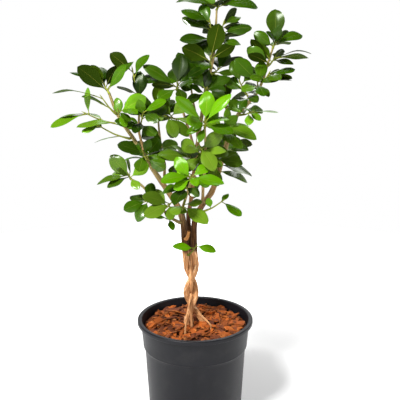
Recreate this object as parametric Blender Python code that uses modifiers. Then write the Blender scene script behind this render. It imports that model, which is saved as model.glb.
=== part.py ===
"""Potted rubber plant: a small-leaved fig with three braided stems in a round nursery pot.

Units are metres, +Z is up, and the origin is the centre of the pot's underside. The front is -Y.
The routes of the stems and branches, and the table of shoots and leaves, are in millimetres.
"""

import math
import random

import bmesh
import bpy
from mathutils import Matrix, Vector
from mathutils.bvhtree import BVHTree

OBJECT_NAME = "potted_rubber_plant"
MM = 0.001

# Pot
POT_HEIGHT = 0.175
RIM_RADIUS = 0.095
LIP_WIDTH = 0.0055
LIP_HEIGHT = 0.006
COLLAR_HEIGHT = 0.038
COLLAR_DROP_IN = 0.0035
COLLAR_STEP = 0.0022
FOOT_RADIUS = 0.0765
WALL = 0.0018
FLOOR = 0.003
FOOT_ROUNDING = 0.004
DRAIN_RADIUS = 0.005
DRAIN_CIRCLE = 0.055
DRAIN_COUNT = 8
POT_STEPS = 40
LEDGE = 0.003
COLLAR_TOP = POT_HEIGHT - LIP_HEIGHT
COLLAR_FOOT = COLLAR_TOP - COLLAR_HEIGHT
COLLAR_RADIUS = RIM_RADIUS - LIP_WIDTH
COLLAR_FOOT_RADIUS = COLLAR_RADIUS - COLLAR_DROP_IN
WALL_TOP_RADIUS = COLLAR_FOOT_RADIUS - COLLAR_STEP

# Filling
SOIL_TOP = 0.145
MULCH_TOP = 0.162
MULCH_RELIEF = 0.0025
MULCH_RINGS = 6
MULCH_STEPS = 24
GAP = 0.0004
JOINT_GAP = 0.0006

# Braid: the left and right stems wind about each other, and the middle stem crosses in front of them.
BRAID_X = -0.0065
BRAID_Y = 0.004
MIDDLE_SET_FORWARD = 0.002
BRAID_HALF_TURN = 0.048
BRAID_CROSSING = 0.240
BRAID_START = 0.192
BRAID_LEVEL = 0.008
BRAID_END = 0.264
OUTER_STEM_RADIUS = 0.0047
MIDDLE_STEM_RADIUS = 0.0024
BRAID_SPREAD = 0.0030
BRAID_ROOM = 0.0007
BRAID_REACH = OUTER_STEM_RADIUS + BRAID_SPREAD
BRAID_DEPTH = OUTER_STEM_RADIUS + BRAID_ROOM
MIDDLE_ROOM = 0.0010
MIDDLE_SWING = BRAID_DEPTH + OUTER_STEM_RADIUS + MIDDLE_STEM_RADIUS + MIDDLE_ROOM - MIDDLE_SET_FORWARD
FOOT_DEPTH = 0.030
ROOT_RADIUS = 0.0014
STEM_STEP = 0.013
BRANCH_STEP = 0.012
TWIG_STEP = 0.014
ROOT_STEP = 0.008

# Foliage
LEAF_SCALE = 1.0
LEAF_FULLNESS = 0.95
LEAF_SLENDER = 1.88
LEAF_STRETCH = 1.45
LEAF_SIZES = (1.0, 0.85, 0.7, 0.55)
BOW = (0.01, 0.09)
FOLD = (0.03, 0.16)
LEAF_THICKNESS = 0.0012
PETIOLE_WIDTH = 0.0016
PETIOLE_SHARE = 0.13
BLADE_SECTIONS = (0.22, 0.55, 0.86)
TIP_SHARE = 0.22
TWIG_RADIUS = 0.0014
TWIG_TIP_RADIUS = 0.0009
TWIG_SAG = 0.06
LEAF_CLEARANCE = 0.0004
SWERVE_DEG = 2.0
SWERVES = 260
GOLDEN_ANGLE = 2.399963

# Routes in millimetres: x to the right, y away from the front, z up, and the radius there.
LEFT_ROUTE = [
    (-16, -3, 288, 4.7), (-17.4, -4, 312, 4.8), (-18.4, -4, 334, 4.8), (-22, -5, 352, 4.5),
    (-38, -8, 380, 4.0), (-58, -12, 411, 3.6),
    (-71, -15, 433, 3.3), (-93, -18, 469, 2.9), (-116, -20, 506, 2.4), (-127, -22, 536, 1.8),
]
MIDDLE_ROUTE = [
    (-8, 8, 282, 3.1), (-9, 9.5, 300, 3.8), (-9.6, 10, 320, 3.8), (-11, 12, 338, 3.4), (-7, 13, 366, 3.1),
    (-4, 14, 395, 3.1), (3, 16, 453, 2.9), (12, 15, 510, 2.6),
    (17, 13, 545, 2.4), (22, 11, 565, 2.2), (28, 8, 590, 2.0), (32, 6, 636, 1.7), (33, 5, 660, 1.4),
]
RIGHT_ROUTE = [
    (-1.0, 0, 288, 4.7), (-1.6, 1, 312, 4.8), (-1.0, 2, 334, 4.8), (5, 3, 352, 4.5),
    (20, 6, 374, 4.0), (31, 8, 394, 3.7), (46, 12, 444, 3.3),
    (61, 14, 495, 2.8), (79, 16, 518, 2.5), (97, 14, 539, 2.2), (106, 12, 560, 1.9),
    (112, 10, 582, 1.7), (119, 10, 605, 1.4),
]

# Side branches: name, parent, height in millimetres where it leaves, and its route.
BRANCHES = [
    ("branch_left_low", "stem_left", 338,
     [(-42, -16, 350, 2.2), (-67, -20, 382, 1.9), (-87, -22, 403, 1.7), (-97, -23, 408, 1.4)]),
    ("branch_left_high", "stem_left", 452,
     [(-84, -22, 478, 1.8), (-84, -20, 500, 1.6), (-83, -17, 522, 1.4)]),
    ("branch_front_low", "stem_left", 356,
     [(-16, -34, 374, 2.0), (-10, -56, 396, 1.7), (-5, -69, 412, 1.4)]),
    ("branch_front", "stem_right", 366,
     [(13, -24, 400, 2.3), (16, -44, 444, 1.9), (15, -60, 488, 1.4)]),
    ("branch_centre", "stem_middle", 452,
     [(-10, 2, 484, 2.0), (-20, -4, 516, 1.7), (-27, -6, 542, 1.3)]),
    ("branch_back_left", "stem_left", 398,
     [(-50, 26, 428, 2.2), (-58, 48, 464, 1.8), (-62, 60, 504, 1.4)]),
    ("branch_back_right", "stem_right", 400,
     [(38, 38, 430, 2.2), (48, 58, 470, 1.8), (52, 70, 514, 1.4)]),
    ("pruned_stub", "stem_left", 310,
     [(-11.5, -12.5, 315, 2.2), (-9.5, -14.5, 324, 2.3)]),
    ("branch_back", "stem_middle", 470,
     [(2, 42, 500, 1.9), (-4, 58, 530, 1.6), (-8, 66, 560, 1.3)]),
]

# Shoots: name, parent, height in millimetres where the twig leaves it, where the twig ends, and its leaves.
# A leaf: place along the twig from 0 to 1, its tip seen from its foot, its width, and which way its upper
# side looks: up, down, left, right, front or back, a letter for each, repeated for weight.
SHOOTS = [
    ("shoot_front_tip", "branch_front", 488, (15, -66, 497), [
        (1.0, (4, 6, 44), 25, "f"),
        (0.8, (-42, -4, 36), 20, "fu"),
        (0.7, (38, -4, 40), 20, "fu"),
        (0.3, (-18, 14, 8), 23, "f"),
        (0.5, (34, -6, 9), 18, "uuf"),
        (0.2, (35, -12, -6), 24, "uf"),
        (0.9, (-18, -10, -10), 12, "uf"),
        (0.1, (-8, -16, -22), 12, "uf"),
        (0.4, (-26, -12, -8), 16, "uf"),
        (0.3, (14, 18, 18), 21, "f"),
    ]),
    ("shoot_front_low_tip", "branch_front_low", 412, (-5, -75, 419), [
        (1.0, (-43, -10, -5), 22, "uf"),
        (1.0, (47, -14, -8), 22, "uf"),
        (0.7, (-21, 6, 27), 21, "f"),
        (0.9, (27, 8, 16), 19, "uf"),
        (1.0, (8, -22, -8), 14, "uf"),
        (0.3, (-14, 16, 12), 20, "f"),
        (0.5, (-24, -14, -14), 16, "uf"),
        (0.2, (22, 12, -8), 18, "uf"),
    ]),
    ("shoot_right_face", "stem_right", 476, (43, -16, 487), [
        (0.9, (50, -12, -14), 27, "uf"),
        (0.8, (-14, -20, -12), 22, "uf"),
        (1.0, (14, -6, 12), 16, "f"),
        (1.0, (8, 4, 25), 17, "fr"),
        (0.6, (30, 16, 6), 24, "uf"),
        (0.7, (-22, 14, 14), 24, "f"),
        (0.5, (6, -26, -16), 18, "uf"),
        (0.2, (20, -14, -22), 20, "uf"),
        (0.9, (-24, -10, 8), 17, "uf"),
    ]),
    ("shoot_centre_matte", "branch_centre", 500, (-42, -32, 504), [
        (1.0, (12, -16, -27), 21, "fu"),
        (0.9, (33, -16, -23), 19, "uf"),
        (0.7, (46, -10, -13), 18, "uuf"),
        (0.8, (20, 4, 18), 23, "f"),
        (1.0, (-22, -18, -6), 18, "uf"),
        (0.6, (-18, 12, 20), 23, "f"),
        (0.5, (-34, 6, 2), 20, "uf"),
        (0.3, (-4, -20, -18), 18, "uf"),
        (0.2, (24, -14, 4), 17, "uf"),
        (0.4, (-10, 14, -24), 21, "f"),
    ]),
    ("shoot_middle_face", "branch_front", 442, (8, -56, 460), [
        (1.0, (14, -18, -20), 25, "uf"),
        (0.7, (38, 8, 0), 24, "uf"),
        (0.9, (-18, -18, -2), 17, "uf"),
        (0.8, (20, 8, 20), 22, "f"),
        (0.5, (-22, 12, 12), 23, "f"),
        (0.3, (24, -12, -12), 20, "uf"),
        (0.2, (-24, -10, -14), 19, "uf"),
        (0.6, (34, -8, 12), 19, "uf"),
    ]),
    ("shoot_right_low", "stem_right", 412, (34, -16, 438), [
        (1.0, (36, -14, -2), 23, "uf"),
        (0.7, (54, -10, -14), 28, "uuf"),
        (0.2, (48, -10, -12), 22, "uuf"),
        (0.6, (-2, -20, -24), 21, "uf"),
        (0.8, (26, 18, 10), 24, "uf"),
        (0.9, (-16, 14, 14), 22, "f"),
        (0.5, (8, 24, 16), 23, "f"),
        (0.3, (-20, 14, -8), 20, "f"),
        (0.9, (10, -22, 10), 17, "uf"),
    ]),
    ("shoot_middle_low", "stem_middle", 418, (-7, -24, 442), [
        (1.0, (-43, -12, 6), 29, "uf"),
        (0.9, (4, -24, -10), 23, "uuf"),
        (1.0, (-29, -8, 20), 15, "uuf"),
        (0.6, (-50, 8, 8), 20, "uuf"),
        (0.7, (26, 8, 8), 23, "f"),
        (0.4, (-22, 10, -12), 22, "uf"),
        (0.8, (14, -14, 18), 18, "uf"),
        (0.3, (-16, 18, 22), 23, "f"),
        (0.2, (26, -4, -18), 20, "uf"),
        (0.9, (-8, -24, 2), 17, "uf"),
    ]),
    ("shoot_trunk", "stem_left", 283, (2, -25, 303), [
        (0.8, (-34, -14, 6), 17, "uf"),
        (1.0, (31, -12, -3), 16, "uf"),
    ]),
    ("shoot_right_sprig", "stem_right", 354, (43, -12, 372), [
        (1.0, (30, -20, -19), 18, "uuf"),
        (0.3, (-4, -8, 16), 12, "f"),
        (0.9, (14, 10, 12), 10, "uf"),
    ]),
    ("shoot_low_front", "branch_front_low", 380, (-17, -50, 370), [
        (1.0, (33, -22, -19), 27, "uf"),
        (0.6, (20, -12, 6), 18, "uuf"),
        (0.8, (-16, -20, -6), 17, "uf"),
    ]),
    ("shoot_bowl", "branch_front_low", 400, (-13, -63, 403), [
        (0.8, (-10, -26, -13), 28, "uuf"),
        (1.0, (20, -16, -12), 15, "uf"),
        (0.5, (-30, -4, -4), 20, "uuf"),
        (0.9, (-6, 14, 18), 18, "f"),
    ]),
    ("shoot_low_left_near", "branch_left_low", 360, (-36, -40, 374), [
        (0.9, (-36, -8, 13), 25, "uf"),
        (1.0, (-32, -24, -9), 27, "uf"),
        (0.6, (26, -16, -4), 19, "uuf"),
        (0.5, (-20, 12, 16), 20, "f"),
        (0.8, (4, -20, -16), 17, "uf"),
    ]),
    ("shoot_low_left_far", "branch_left_low", 376, (-73, -34, 376), [
        (1.0, (-33, -16, -11), 22, "uf"),
        (0.8, (-10, -18, -17), 22, "uf"),
        (0.6, (-30, 14, 4), 20, "uf"),
        (0.5, (18, -18, -12), 18, "uf"),
        (0.9, (4, 12, 20), 18, "f"),
    ]),
    ("shoot_low_left_small", "branch_left_low", 346, (-42, -24, 346), [
        (1.0, (-26, -12, 9), 15, "uuf"),
        (0.6, (6, -14, -12), 12, "uf"),
    ]),
    ("shoot_left_low_tip", "branch_left_low", 408, (-101, -25, 415), [
        (0.3, (-21, 4, 24), 26, "f"),
        (1.0, (-47, -14, -8), 18, "uuf"),
        (0.6, (-32, -18, -12), 17, "uuf"),
        (0.0, (16, -16, -14), 15, "uf"),
        (0.8, (-32, 18, 8), 20, "uf"),
        (0.4, (24, -4, 18), 20, "f"),
        (0.7, (-4, 20, 20), 20, "ub"),
        (0.8, (-14, -16, 12), 15, "uf"),
    ]),
    ("shoot_left_inner", "stem_left", 438, (-77, -34, 450), [
        (1.0, (-35, -12, 14), 23, "uf"),
        (0.8, (-4, -22, -18), 21, "uf"),
        (0.7, (32, -14, -10), 19, "uuf"),
        (0.1, (-38, 8, 2), 17, "u"),
        (0.9, (10, -8, 20), 14, "f"),
        (0.5, (16, 16, 20), 23, "f"),
        (0.4, (30, 8, 4), 20, "uf"),
        (0.3, (-20, 14, 20), 22, "f"),
        (0.6, (4, -22, 4), 15, "uf"),
        (0.2, (20, 16, -16), 21, "f"),
    ]),
    ("shoot_left_face", "stem_left", 500, (-112, -40, 512), [
        (0.8, (34, 4, 20), 26, "f"),
        (1.0, (31, -20, -3), 18, "uuf"),
        (0.6, (12, -14, -16), 13, "uf"),
        (0.9, (20, -16, -14), 12, "uf"),
        (0.2, (-14, 14, 18), 20, "f"),
        (0.4, (16, 16, -14), 20, "f"),
    ]),
    ("shoot_left_middle", "branch_left_high", 486, (-76, -36, 510), [
        (0.2, (-29, -12, 14), 22, "uf"),
        (1.0, (36, -8, 17), 21, "uf"),
        (0.9, (20, -16, -10), 19, "uf"),
        (0.6, (34, 10, 20), 25, "f"),
        (0.7, (-18, 12, 16), 22, "f"),
        (0.3, (22, -16, -16), 19, "uf"),
        (0.5, (-6, -24, -14), 18, "uf"),
        (0.4, (4, 18, 28), 23, "f"),
        (0.9, (-4, -22, 16), 16, "f"),
        (0.2, (10, 14, -26), 21, "f"),
    ]),
    ("shoot_left_crown", "branch_left_high", 522, (-93, -12, 571), [
        (0.1, (2, 8, 28), 27, "f"),
        (0.4, (1, 14, 26), 22, "f"),
        (0.8, (20, 8, 37), 20, "fl"),
        (1.0, (-35, 12, 29), 24, "bbu"),
        (0.6, (30, 16, 14), 23, "uf"),
        (0.3, (-32, 16, 10), 22, "uub"),
        (0.2, (22, 8, -14), 20, "uf"),
        (0.3, (-8, -16, -18), 18, "uf"),
    ]),
    ("shoot_left_long", "stem_left", 508, (-135, -38, 530), [
        (1.0, (-71, -8, 12), 23, "u"),
        (0.4, (-42, 10, 21), 20, "uub"),
    ]),
    ("shoot_left_outer", "stem_left", 494, (-162, -30, 508), [
        (0.15, (-56, -16, -1), 25, "uuf"),
        (1.0, (-50, -20, -20), 21, "uuf"),
        (1.0, (-40, -8, -6), 19, "u"),
        (0.9, (4, 5, 40), 18, "lf"),
        (0.5, (-26, 16, 12), 17, "u"),
    ]),
    ("shoot_left_under", "stem_left", 472, (-144, -34, 491), [
        (1.0, (-22, -14, -9), 16, "uuf"),
        (0.3, (-38, -12, -3), 19, "u"),
        (0.8, (-18, 12, 6), 14, "uf"),
    ]),
    ("shoot_left_tip", "stem_left", 536, (-140, -10, 557), [
        (0.1, (-44, 6, 38), 31, "bbu"),
        (0.2, (31, -14, 37), 23, "fl"),
        (0.3, (38, 8, 44), 23, "fl"),
        (1.0, (-57, 6, 13), 22, "uuf"),
        (0.9, (14, 34, 14), 21, "u"),
        (0.6, (-16, 28, 24), 22, "u"),
        (0.8, (-30, 22, 10), 23, "ub"),
        (0.5, (8, 20, 30), 22, "ub"),
        (0.7, (-20, -8, 24), 19, "ub"),
    ]),
    ("shoot_centre_up", "branch_centre", 542, (-26, -8, 551), [
        (1.0, (4, 8, 31), 28, "f"),
        (0.4, (-50, -6, 34), 22, "fu"),
        (0.8, (21, 12, 24), 26, "f"),
        (0.7, (18, -20, 6), 19, "uf"),
        (0.3, (31, -10, 12), 15, "uuf"),
        (0.5, (-38, 8, 14), 20, "ub"),
        (0.2, (-24, -18, -12), 21, "uf"),
        (0.6, (10, -18, -22), 18, "uf"),
        (0.9, (-8, 22, 24), 23, "f"),
    ]),
    ("shoot_middle_right", "stem_middle", 534, (18, -10, 544), [
        (0.8, (36, -2, 21), 21, "uf"),
        (0.7, (-26, -14, -18), 16, "uuf"),
        (1.0, (26, -22, -2), 20, "uf"),
        (0.9, (-24, 6, 18), 23, "f"),
        (0.5, (14, 18, 24), 23, "f"),
        (0.4, (-20, -16, 10), 17, "uf"),
        (0.7, (-14, 22, 28), 24, "f"),
        (0.2, (28, 8, -18), 20, "uf"),
        (0.3, (-26, 10, -10), 19, "uf"),
    ]),
    ("shoot_right_glossy", "stem_right", 528, (69, -6, 553), [
        (1.0, (-9, 8, 29), 22, "f"),
        (0.6, (-34, -10, 11), 20, "uf"),
        (0.42, (28, -8, 6), 18, "uuf"),
        (0.1, (-16, -16, -14), 17, "uf"),
        (0.9, (18, 12, 22), 22, "f"),
        (0.74, (-22, 12, 14), 21, "f"),
        (0.3, (12, -22, -8), 17, "uf"),
        (0.85, (25, 15, -2), 19, "uf"),
    ]),
    ("shoot_right_inner", "stem_right", 544, (95, -6, 556), [
        (1.0, (-29, 4, 26), 27, "f"),
        (0.7, (5, -20, -12), 21, "uf"),
        (0.9, (26, -14, 4), 19, "uf"),
        (0.8, (12, 14, 22), 21, "f"),
        (0.4, (-24, -16, -6), 18, "uf"),
        (0.3, (14, -22, -16), 17, "uf"),
    ]),
    ("shoot_right_wide", "stem_right", 506, (86, -2, 509), [
        (1.0, (42, -10, 3), 19, "u"),
        (0.8, (0, -18, -16), 15, "uf"),
        (0.9, (16, -14, -10), 13, "uf"),
        (0.5, (-18, 12, 16), 20, "f"),
        (0.6, (24, 16, 8), 20, "uf"),
        (0.3, (10, 24, 8), 21, "ub"),
        (0.9, (-6, -22, 6), 16, "uf"),
    ]),
    ("shoot_right_low_tip", "stem_right", 556, (112, -8, 567), [
        (1.0, (38, -8, 8), 20, "uuf"),
        (0.3, (42, 4, -2), 18, "u"),
        (0.7, (40, 12, 0), 20, "uub"),
        (0.9, (10, -24, -6), 19, "uf"),
        (0.5, (-20, -14, -8), 17, "uf"),
        (0.4, (20, 20, 14), 20, "ub"),
    ]),
    ("shoot_right_mid", "stem_right", 580, (120, -4, 589), [
        (0.9, (56, 4, 15), 19, "u"),
        (1.0, (50, -10, 5), 18, "uub"),
        (0.8, (26, -18, -6), 19, "uf"),
        (0.2, (-28, 2, 21), 24, "f"),
        (0.3, (-38, -8, 17), 18, "ub"),
        (0.1, (-40, 10, 24), 18, "ub"),
        (1.0, (4, -24, 8), 17, "uf"),
        (0.5, (20, 18, 18), 20, "ub"),
        (0.6, (-8, 22, 14), 20, "ub"),
    ]),
    ("shoot_right_tip", "stem_right", 605, (122, 9, 612), [
        (1.0, (1, 6, 38), 30, "f"),
        (0.9, (44, 8, 17), 20, "uf"),
        (0.3, (-25, 4, 20), 21, "f"),
        (0.8, (-10, -12, 14), 15, "uf"),
        (0.7, (16, -22, 1), 19, "uu"),
        (0.6, (24, 16, 22), 21, "ub"),
        (0.5, (-20, 18, 12), 21, "ub"),
        (0.4, (8, 26, 12), 21, "ub"),
        (0.9, (-4, -14, 26), 15, "f"),
    ]),
    ("shoot_upper_left", "stem_middle", 576, (24, -8, 589), [
        (1.0, (4, 4, 43), 29, "b"),
        (0.7, (-40, 2, 20), 27, "bbu"),
        (0.9, (38, 4, 23), 22, "bbu"),
        (0.4, (-26, 10, -12), 24, "f"),
        (0.5, (-32, 12, 6), 20, "uub"),
        (0.2, (-10, -4, -28), 20, "f"),
        (0.9, (-20, 18, 32), 25, "f"),
        (0.6, (-12, -22, -10), 17, "uf"),
        (0.3, (-34, -8, -22), 20, "uf"),
        (0.8, (-6, 26, 34), 24, "ub"),
    ]),
    ("shoot_upper_right", "stem_middle", 568, (36, 10, 574), [
        (1.0, (38, 6, 20), 19, "uub"),
        (0.7, (-12, 24, 14), 22, "ub"),
        (0.9, (20, 20, 26), 24, "f"),
        (0.5, (30, -14, -2), 18, "uf"),
        (1.0, (4, 26, 30), 24, "f"),
        (0.2, (34, 4, -22), 20, "uf"),
        (0.7, (-20, 24, -4), 22, "f"),
    ]),
    ("shoot_top_left", "stem_middle", 614, (23, -8, 641), [
        (1.0, (-36, -8, 17), 26, "uf"),
        (0.6, (-44, 2, 19), 21, "uf"),
        (0.2, (-50, -6, -4), 24, "uf"),
        (0.8, (-16, 16, 16), 23, "f"),
        (0.7, (-22, 18, 26), 22, "ub"),
        (0.5, (-8, 26, 14), 22, "b"),
        (0.15, (-46, 10, -14), 19, "uf"),
        (0.9, (-14, 12, 30), 20, "f"),
    ]),
    ("shoot_top_right", "stem_middle", 610, (43, -2, 640), [
        (0.6, (46, -4, 11), 25, "uf"),
        (0.3, (42, 6, 15), 19, "uub"),
        (1.0, (26, 4, 14), 17, "uf"),
        (0.8, (26, 18, 6), 20, "ub"),
        (0.9, (18, 16, 24), 22, "ub"),
        (0.4, (10, 26, 8), 22, "b"),
        (0.2, (34, -12, -10), 19, "uf"),
    ]),
    ("shoot_top", "stem_middle", 660, (36, 3, 666), [
        (0.8, (60, 4, 5), 24, "uf"),
        (0.7, (-62, -4, 12), 22, "uf"),
        (1.0, (15, 8, 33), 22, "f"),
        (1.0, (-5, 10, 37), 18, "r"),
        (0.9, (-28, 10, 26), 23, "f"),
        (0.9, (6, -8, 26), 14, "l"),
        (0.4, (2, -20, 6), 14, "uf"),
        (0.6, (30, 16, 20), 20, "ub"),
        (0.5, (-20, 22, 12), 20, "ub"),
    ]),
    ("shoot_back_left_tip", "branch_back_left", 504, (-64, 66, 513), [
        (1.0, (-32, 26, 22), 25, "ub"),
        (0.8, (-44, 4, 8), 24, "uf"),
        (1.0, (28, 30, 14), 24, "ub"),
        (0.7, (2, 46, -4), 25, "ub"),
        (1.0, (4, 12, 42), 24, "b"),
        (0.5, (34, -8, 10), 24, "uf"),
        (0.6, (-12, -28, 6), 22, "uf"),
        (0.9, (22, -30, 28), 25, "f"),
        (0.4, (-10, -34, 22), 23, "f"),
    ]),
    ("shoot_back_left_low", "branch_back_left", 442, (-68, 60, 448), [
        (1.0, (-40, 18, 6), 25, "ub"),
        (0.7, (-10, 44, -8), 25, "ub"),
        (0.9, (30, 32, 8), 23, "ub"),
        (0.8, (-30, -20, 0), 22, "uf"),
        (1.0, (-6, 12, 36), 22, "b"),
        (0.9, (26, -28, 14), 25, "f"),
        (0.5, (2, -36, 12), 23, "f"),
        (0.3, (-24, -14, -18), 21, "uf"),
        (0.8, (14, -20, 32), 23, "f"),
    ]),
    ("shoot_back_right_tip", "branch_back_right", 514, (54, 76, 523), [
        (1.0, (36, 26, 16), 25, "ub"),
        (0.8, (46, 0, 6), 24, "uf"),
        (1.0, (-24, 34, 18), 24, "ub"),
        (0.7, (8, 48, -6), 25, "ub"),
        (1.0, (-4, 12, 42), 24, "b"),
        (0.5, (-36, -6, 12), 24, "uf"),
        (0.6, (14, -28, 6), 22, "uf"),
        (0.9, (-26, -32, 20), 25, "f"),
        (0.4, (12, -36, 18), 23, "f"),
    ]),
    ("shoot_back_right_low", "branch_back_right", 446, (56, 66, 451), [
        (1.0, (42, 16, 4), 25, "ub"),
        (0.7, (16, 44, -8), 25, "ub"),
        (0.9, (-26, 36, 6), 23, "ub"),
        (0.8, (32, -20, 0), 22, "uf"),
        (1.0, (8, 12, 36), 22, "b"),
        (0.9, (-26, -30, 8), 25, "f"),
        (0.5, (4, -34, 26), 23, "f"),
        (0.3, (24, -14, -18), 21, "uf"),
        (0.8, (-14, -20, 30), 23, "f"),
    ]),
    ("shoot_back_tip", "branch_back", 560, (-9, 70, 570), [
        (1.0, (-30, 24, 20), 24, "ub"),
        (0.8, (30, 28, 14), 24, "ub"),
        (1.0, (0, 12, 42), 24, "b"),
        (0.6, (-40, 4, -4), 24, "uf"),
        (0.7, (4, 48, -2), 24, "ub"),
        (0.5, (36, -8, 4), 24, "uf"),
        (0.9, (-16, -28, 30), 26, "f"),
        (0.8, (20, -28, 24), 25, "f"),
        (0.3, (-6, -34, -18), 24, "f"),
        (0.4, (26, -26, 2), 22, "f"),
        (0.5, (-26, -24, 6), 22, "f"),
    ]),
    ("shoot_back_low", "stem_middle", 404, (-4, 50, 414), [
        (1.0, (-32, 30, 4), 25, "ub"),
        (0.9, (32, 30, -2), 25, "ub"),
        (1.0, (2, 44, 10), 24, "ub"),
        (0.5, (-40, 8, 8), 24, "uf"),
        (0.6, (40, 2, 4), 24, "uf"),
        (0.7, (4, 20, -28), 22, "b"),
        (0.9, (-18, -10, 36), 24, "f"),
        (0.8, (22, -12, 32), 24, "f"),
        (0.3, (-22, -8, -16), 20, "f"),
        (0.2, (0, -14, -22), 20, "f"),
        (0.8, (-2, -16, 34), 24, "f"),
    ]),
]

# Aerial roots: name, the stem each one leaves, the height there, and where it enters the mulch.
ROOTS = [
    ("aerial_root_front", "stem_middle", 206, (-15.5, -44)),
    ("aerial_root_right", "stem_right", 177, (26, -19)),
    ("aerial_root_back", "stem_right", 188, (2, 30)),
]

FACES = {
    "u": Vector((0, 0, 1)), "d": Vector((0, 0, -1)), "l": Vector((-1, 0, 0)),
    "r": Vector((1, 0, 0)), "f": Vector((0, -1, 0)), "b": Vector((0, 1, 0)),
}

# Colours, roughness
BLACK_PLASTIC = ((0.028, 0.028, 0.032), 0.42)
DARK_SOIL = ((0.035, 0.022, 0.014), 0.95)
BARK_CHIPS = ((0.30, 0.10, 0.035), 0.85)
PALE_BARK = ((0.30, 0.19, 0.11), 0.75)
DARK_BARK = ((0.16, 0.10, 0.06), 0.75)
FRESH_CUT = ((0.60, 0.24, 0.06), 0.70)
LEAF_GREEN = ((0.05, 0.17, 0.03), 0.30)


# ---- Routes ----

def smooth(points, step):
    """Reads a smooth curve through the points about every step. A point is (x, y, z, radius) in metres."""
    ends = [2 * points[0] - points[1], *points, 2 * points[-1] - points[-2]]
    curve = [points[0]]
    for a, b, c, d in zip(ends, ends[1:], ends[2:], ends[3:]):
        count = max(1, round((c - b).xyz.length / step))
        for i in range(1, count + 1):
            t = i / count
            curve.append(
                0.5 * (2 * b + (c - a) * t + (2 * a - 5 * b + 4 * c - d) * t**2
                       + (3 * b - a - 3 * c + d) * t**3)
            )
    return curve


def at_height(route, z):
    """The point of a rising route at height z, with its radius, and the route's direction there."""
    for a, b in zip(route, route[1:]):
        if z <= b.z:
            break
    share = min(1.0, max(0.0, (z - a.z) / (b.z - a.z)))
    return a.lerp(b, share), (b - a).xyz.normalized()


def leave(parent, z, towards, radius):
    """Where a twig or branch that leaves its parent at height z starts, clear of the parent's bark."""
    point, along = at_height(parent, z)
    way = (towards - point.xyz).normalized()
    cosine = way.dot(along)
    sine = math.sqrt(max(0.0, 1 - cosine * cosine))
    if z >= parent[-1].z - 0.5 * MM:
        start = point.xyz + along * (JOINT_GAP + radius * sine)
    else:
        outward = (way - along * cosine).normalized()
        start = point.xyz + outward * (point.w + JOINT_GAP + radius * abs(cosine))
    return Vector((*start, radius))


def braid_point(strand, z, radius):
    """A point of the braid: strand is -1 for the left stem, 1 for the right one and 0 for the middle one."""
    turn = math.pi * (z - BRAID_CROSSING) / BRAID_HALF_TURN
    if strand == 0:
        forward = MIDDLE_SET_FORWARD + MIDDLE_SWING * abs(math.cos(turn))
        return Vector((BRAID_X, BRAID_Y - forward, z, radius))
    return Vector((
        BRAID_X + strand * BRAID_REACH * math.sin(turn),
        BRAID_Y - strand * BRAID_DEPTH * math.cos(turn),
        z,
        radius,
    ))


def stem_route(strand, foot, radius, branch):
    """A stem from its foot in the soil, through the braid and along its branch."""
    x, y = foot
    points = [
        Vector((x, y, MULCH_TOP - FOOT_DEPTH, radius)),
        Vector((x, y, MULCH_TOP + 2 * MULCH_RELIEF, radius)),
    ]
    levels = round((BRAID_END - BRAID_START) / BRAID_LEVEL)
    for i in range(levels + 1):
        z = BRAID_START + (BRAID_END - BRAID_START) * i / levels
        points.append(braid_point(strand, z, radius))
    points += [Vector(p) * MM for p in branch]
    return [points[0]] + smooth(points[1:], STEM_STEP)


def root_route(parent, z, foot):
    """An aerial root: it arches out of its stem and down into the mulch."""
    x, y = (value * MM for value in foot)
    entry = Vector((x, y, MULCH_TOP + 2 * MULCH_RELIEF, ROOT_RADIUS))
    start = leave(parent, z, entry.xyz, ROOT_RADIUS)
    knee = start.lerp(entry, 0.55)
    knee.x += 0.12 * (x - start.x)
    knee.y += 0.12 * (y - start.y)
    down = entry.copy()
    down.z = MULCH_TOP - 5 * MULCH_RELIEF
    return smooth([start, knee, entry], ROOT_STEP) + [down]


def plan_wood():
    """Every route of the plant's wood by name, and each shoot's twig."""
    wood = {
        "stem_left": stem_route(-1, (-0.0135, 0.0005), OUTER_STEM_RADIUS, LEFT_ROUTE),
        "stem_middle": stem_route(0, (-0.0055, -0.0095), MIDDLE_STEM_RADIUS, MIDDLE_ROUTE),
        "stem_right": stem_route(1, (0.0125, 0.003), OUTER_STEM_RADIUS, RIGHT_ROUTE),
    }
    for name, parent, height, route in BRANCHES:
        points = [Vector(p) * MM for p in route]
        start = leave(wood[parent], height * MM, points[0].xyz, points[0].w)
        wood[name] = smooth([start, *points], BRANCH_STEP)
    for name, parent, height, foot in ROOTS:
        wood[name] = root_route(wood[parent], height * MM, foot)
    twigs = {}
    for name, parent, height, end, _ in SHOOTS:
        tip = Vector((*(value * MM for value in end), TWIG_TIP_RADIUS))
        start = leave(wood[parent], height * MM, tip.xyz, TWIG_RADIUS)
        bend = start.lerp(tip, 0.5)
        bend.z -= TWIG_SAG * (tip - start).xyz.length
        twigs[name] = smooth([start, bend, tip], TWIG_STEP)
    return wood, twigs


# ---- Leaves ----

def on_twig(twig, place):
    """The point of a twig at a share of its length, kept a little inside its ends."""
    position = min(0.95, max(0.08, place)) * (len(twig) - 1)
    first = min(int(position), len(twig) - 2)
    return twig[first].lerp(twig[first + 1], position - first).xyz


def half_width(share):
    """A leaf outline: half its width as a share of the widest, from 0 at the foot to 1 at the tip."""
    return math.sin(math.pi * share**1.2) ** (0.95 - 0.33 * share)


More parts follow.
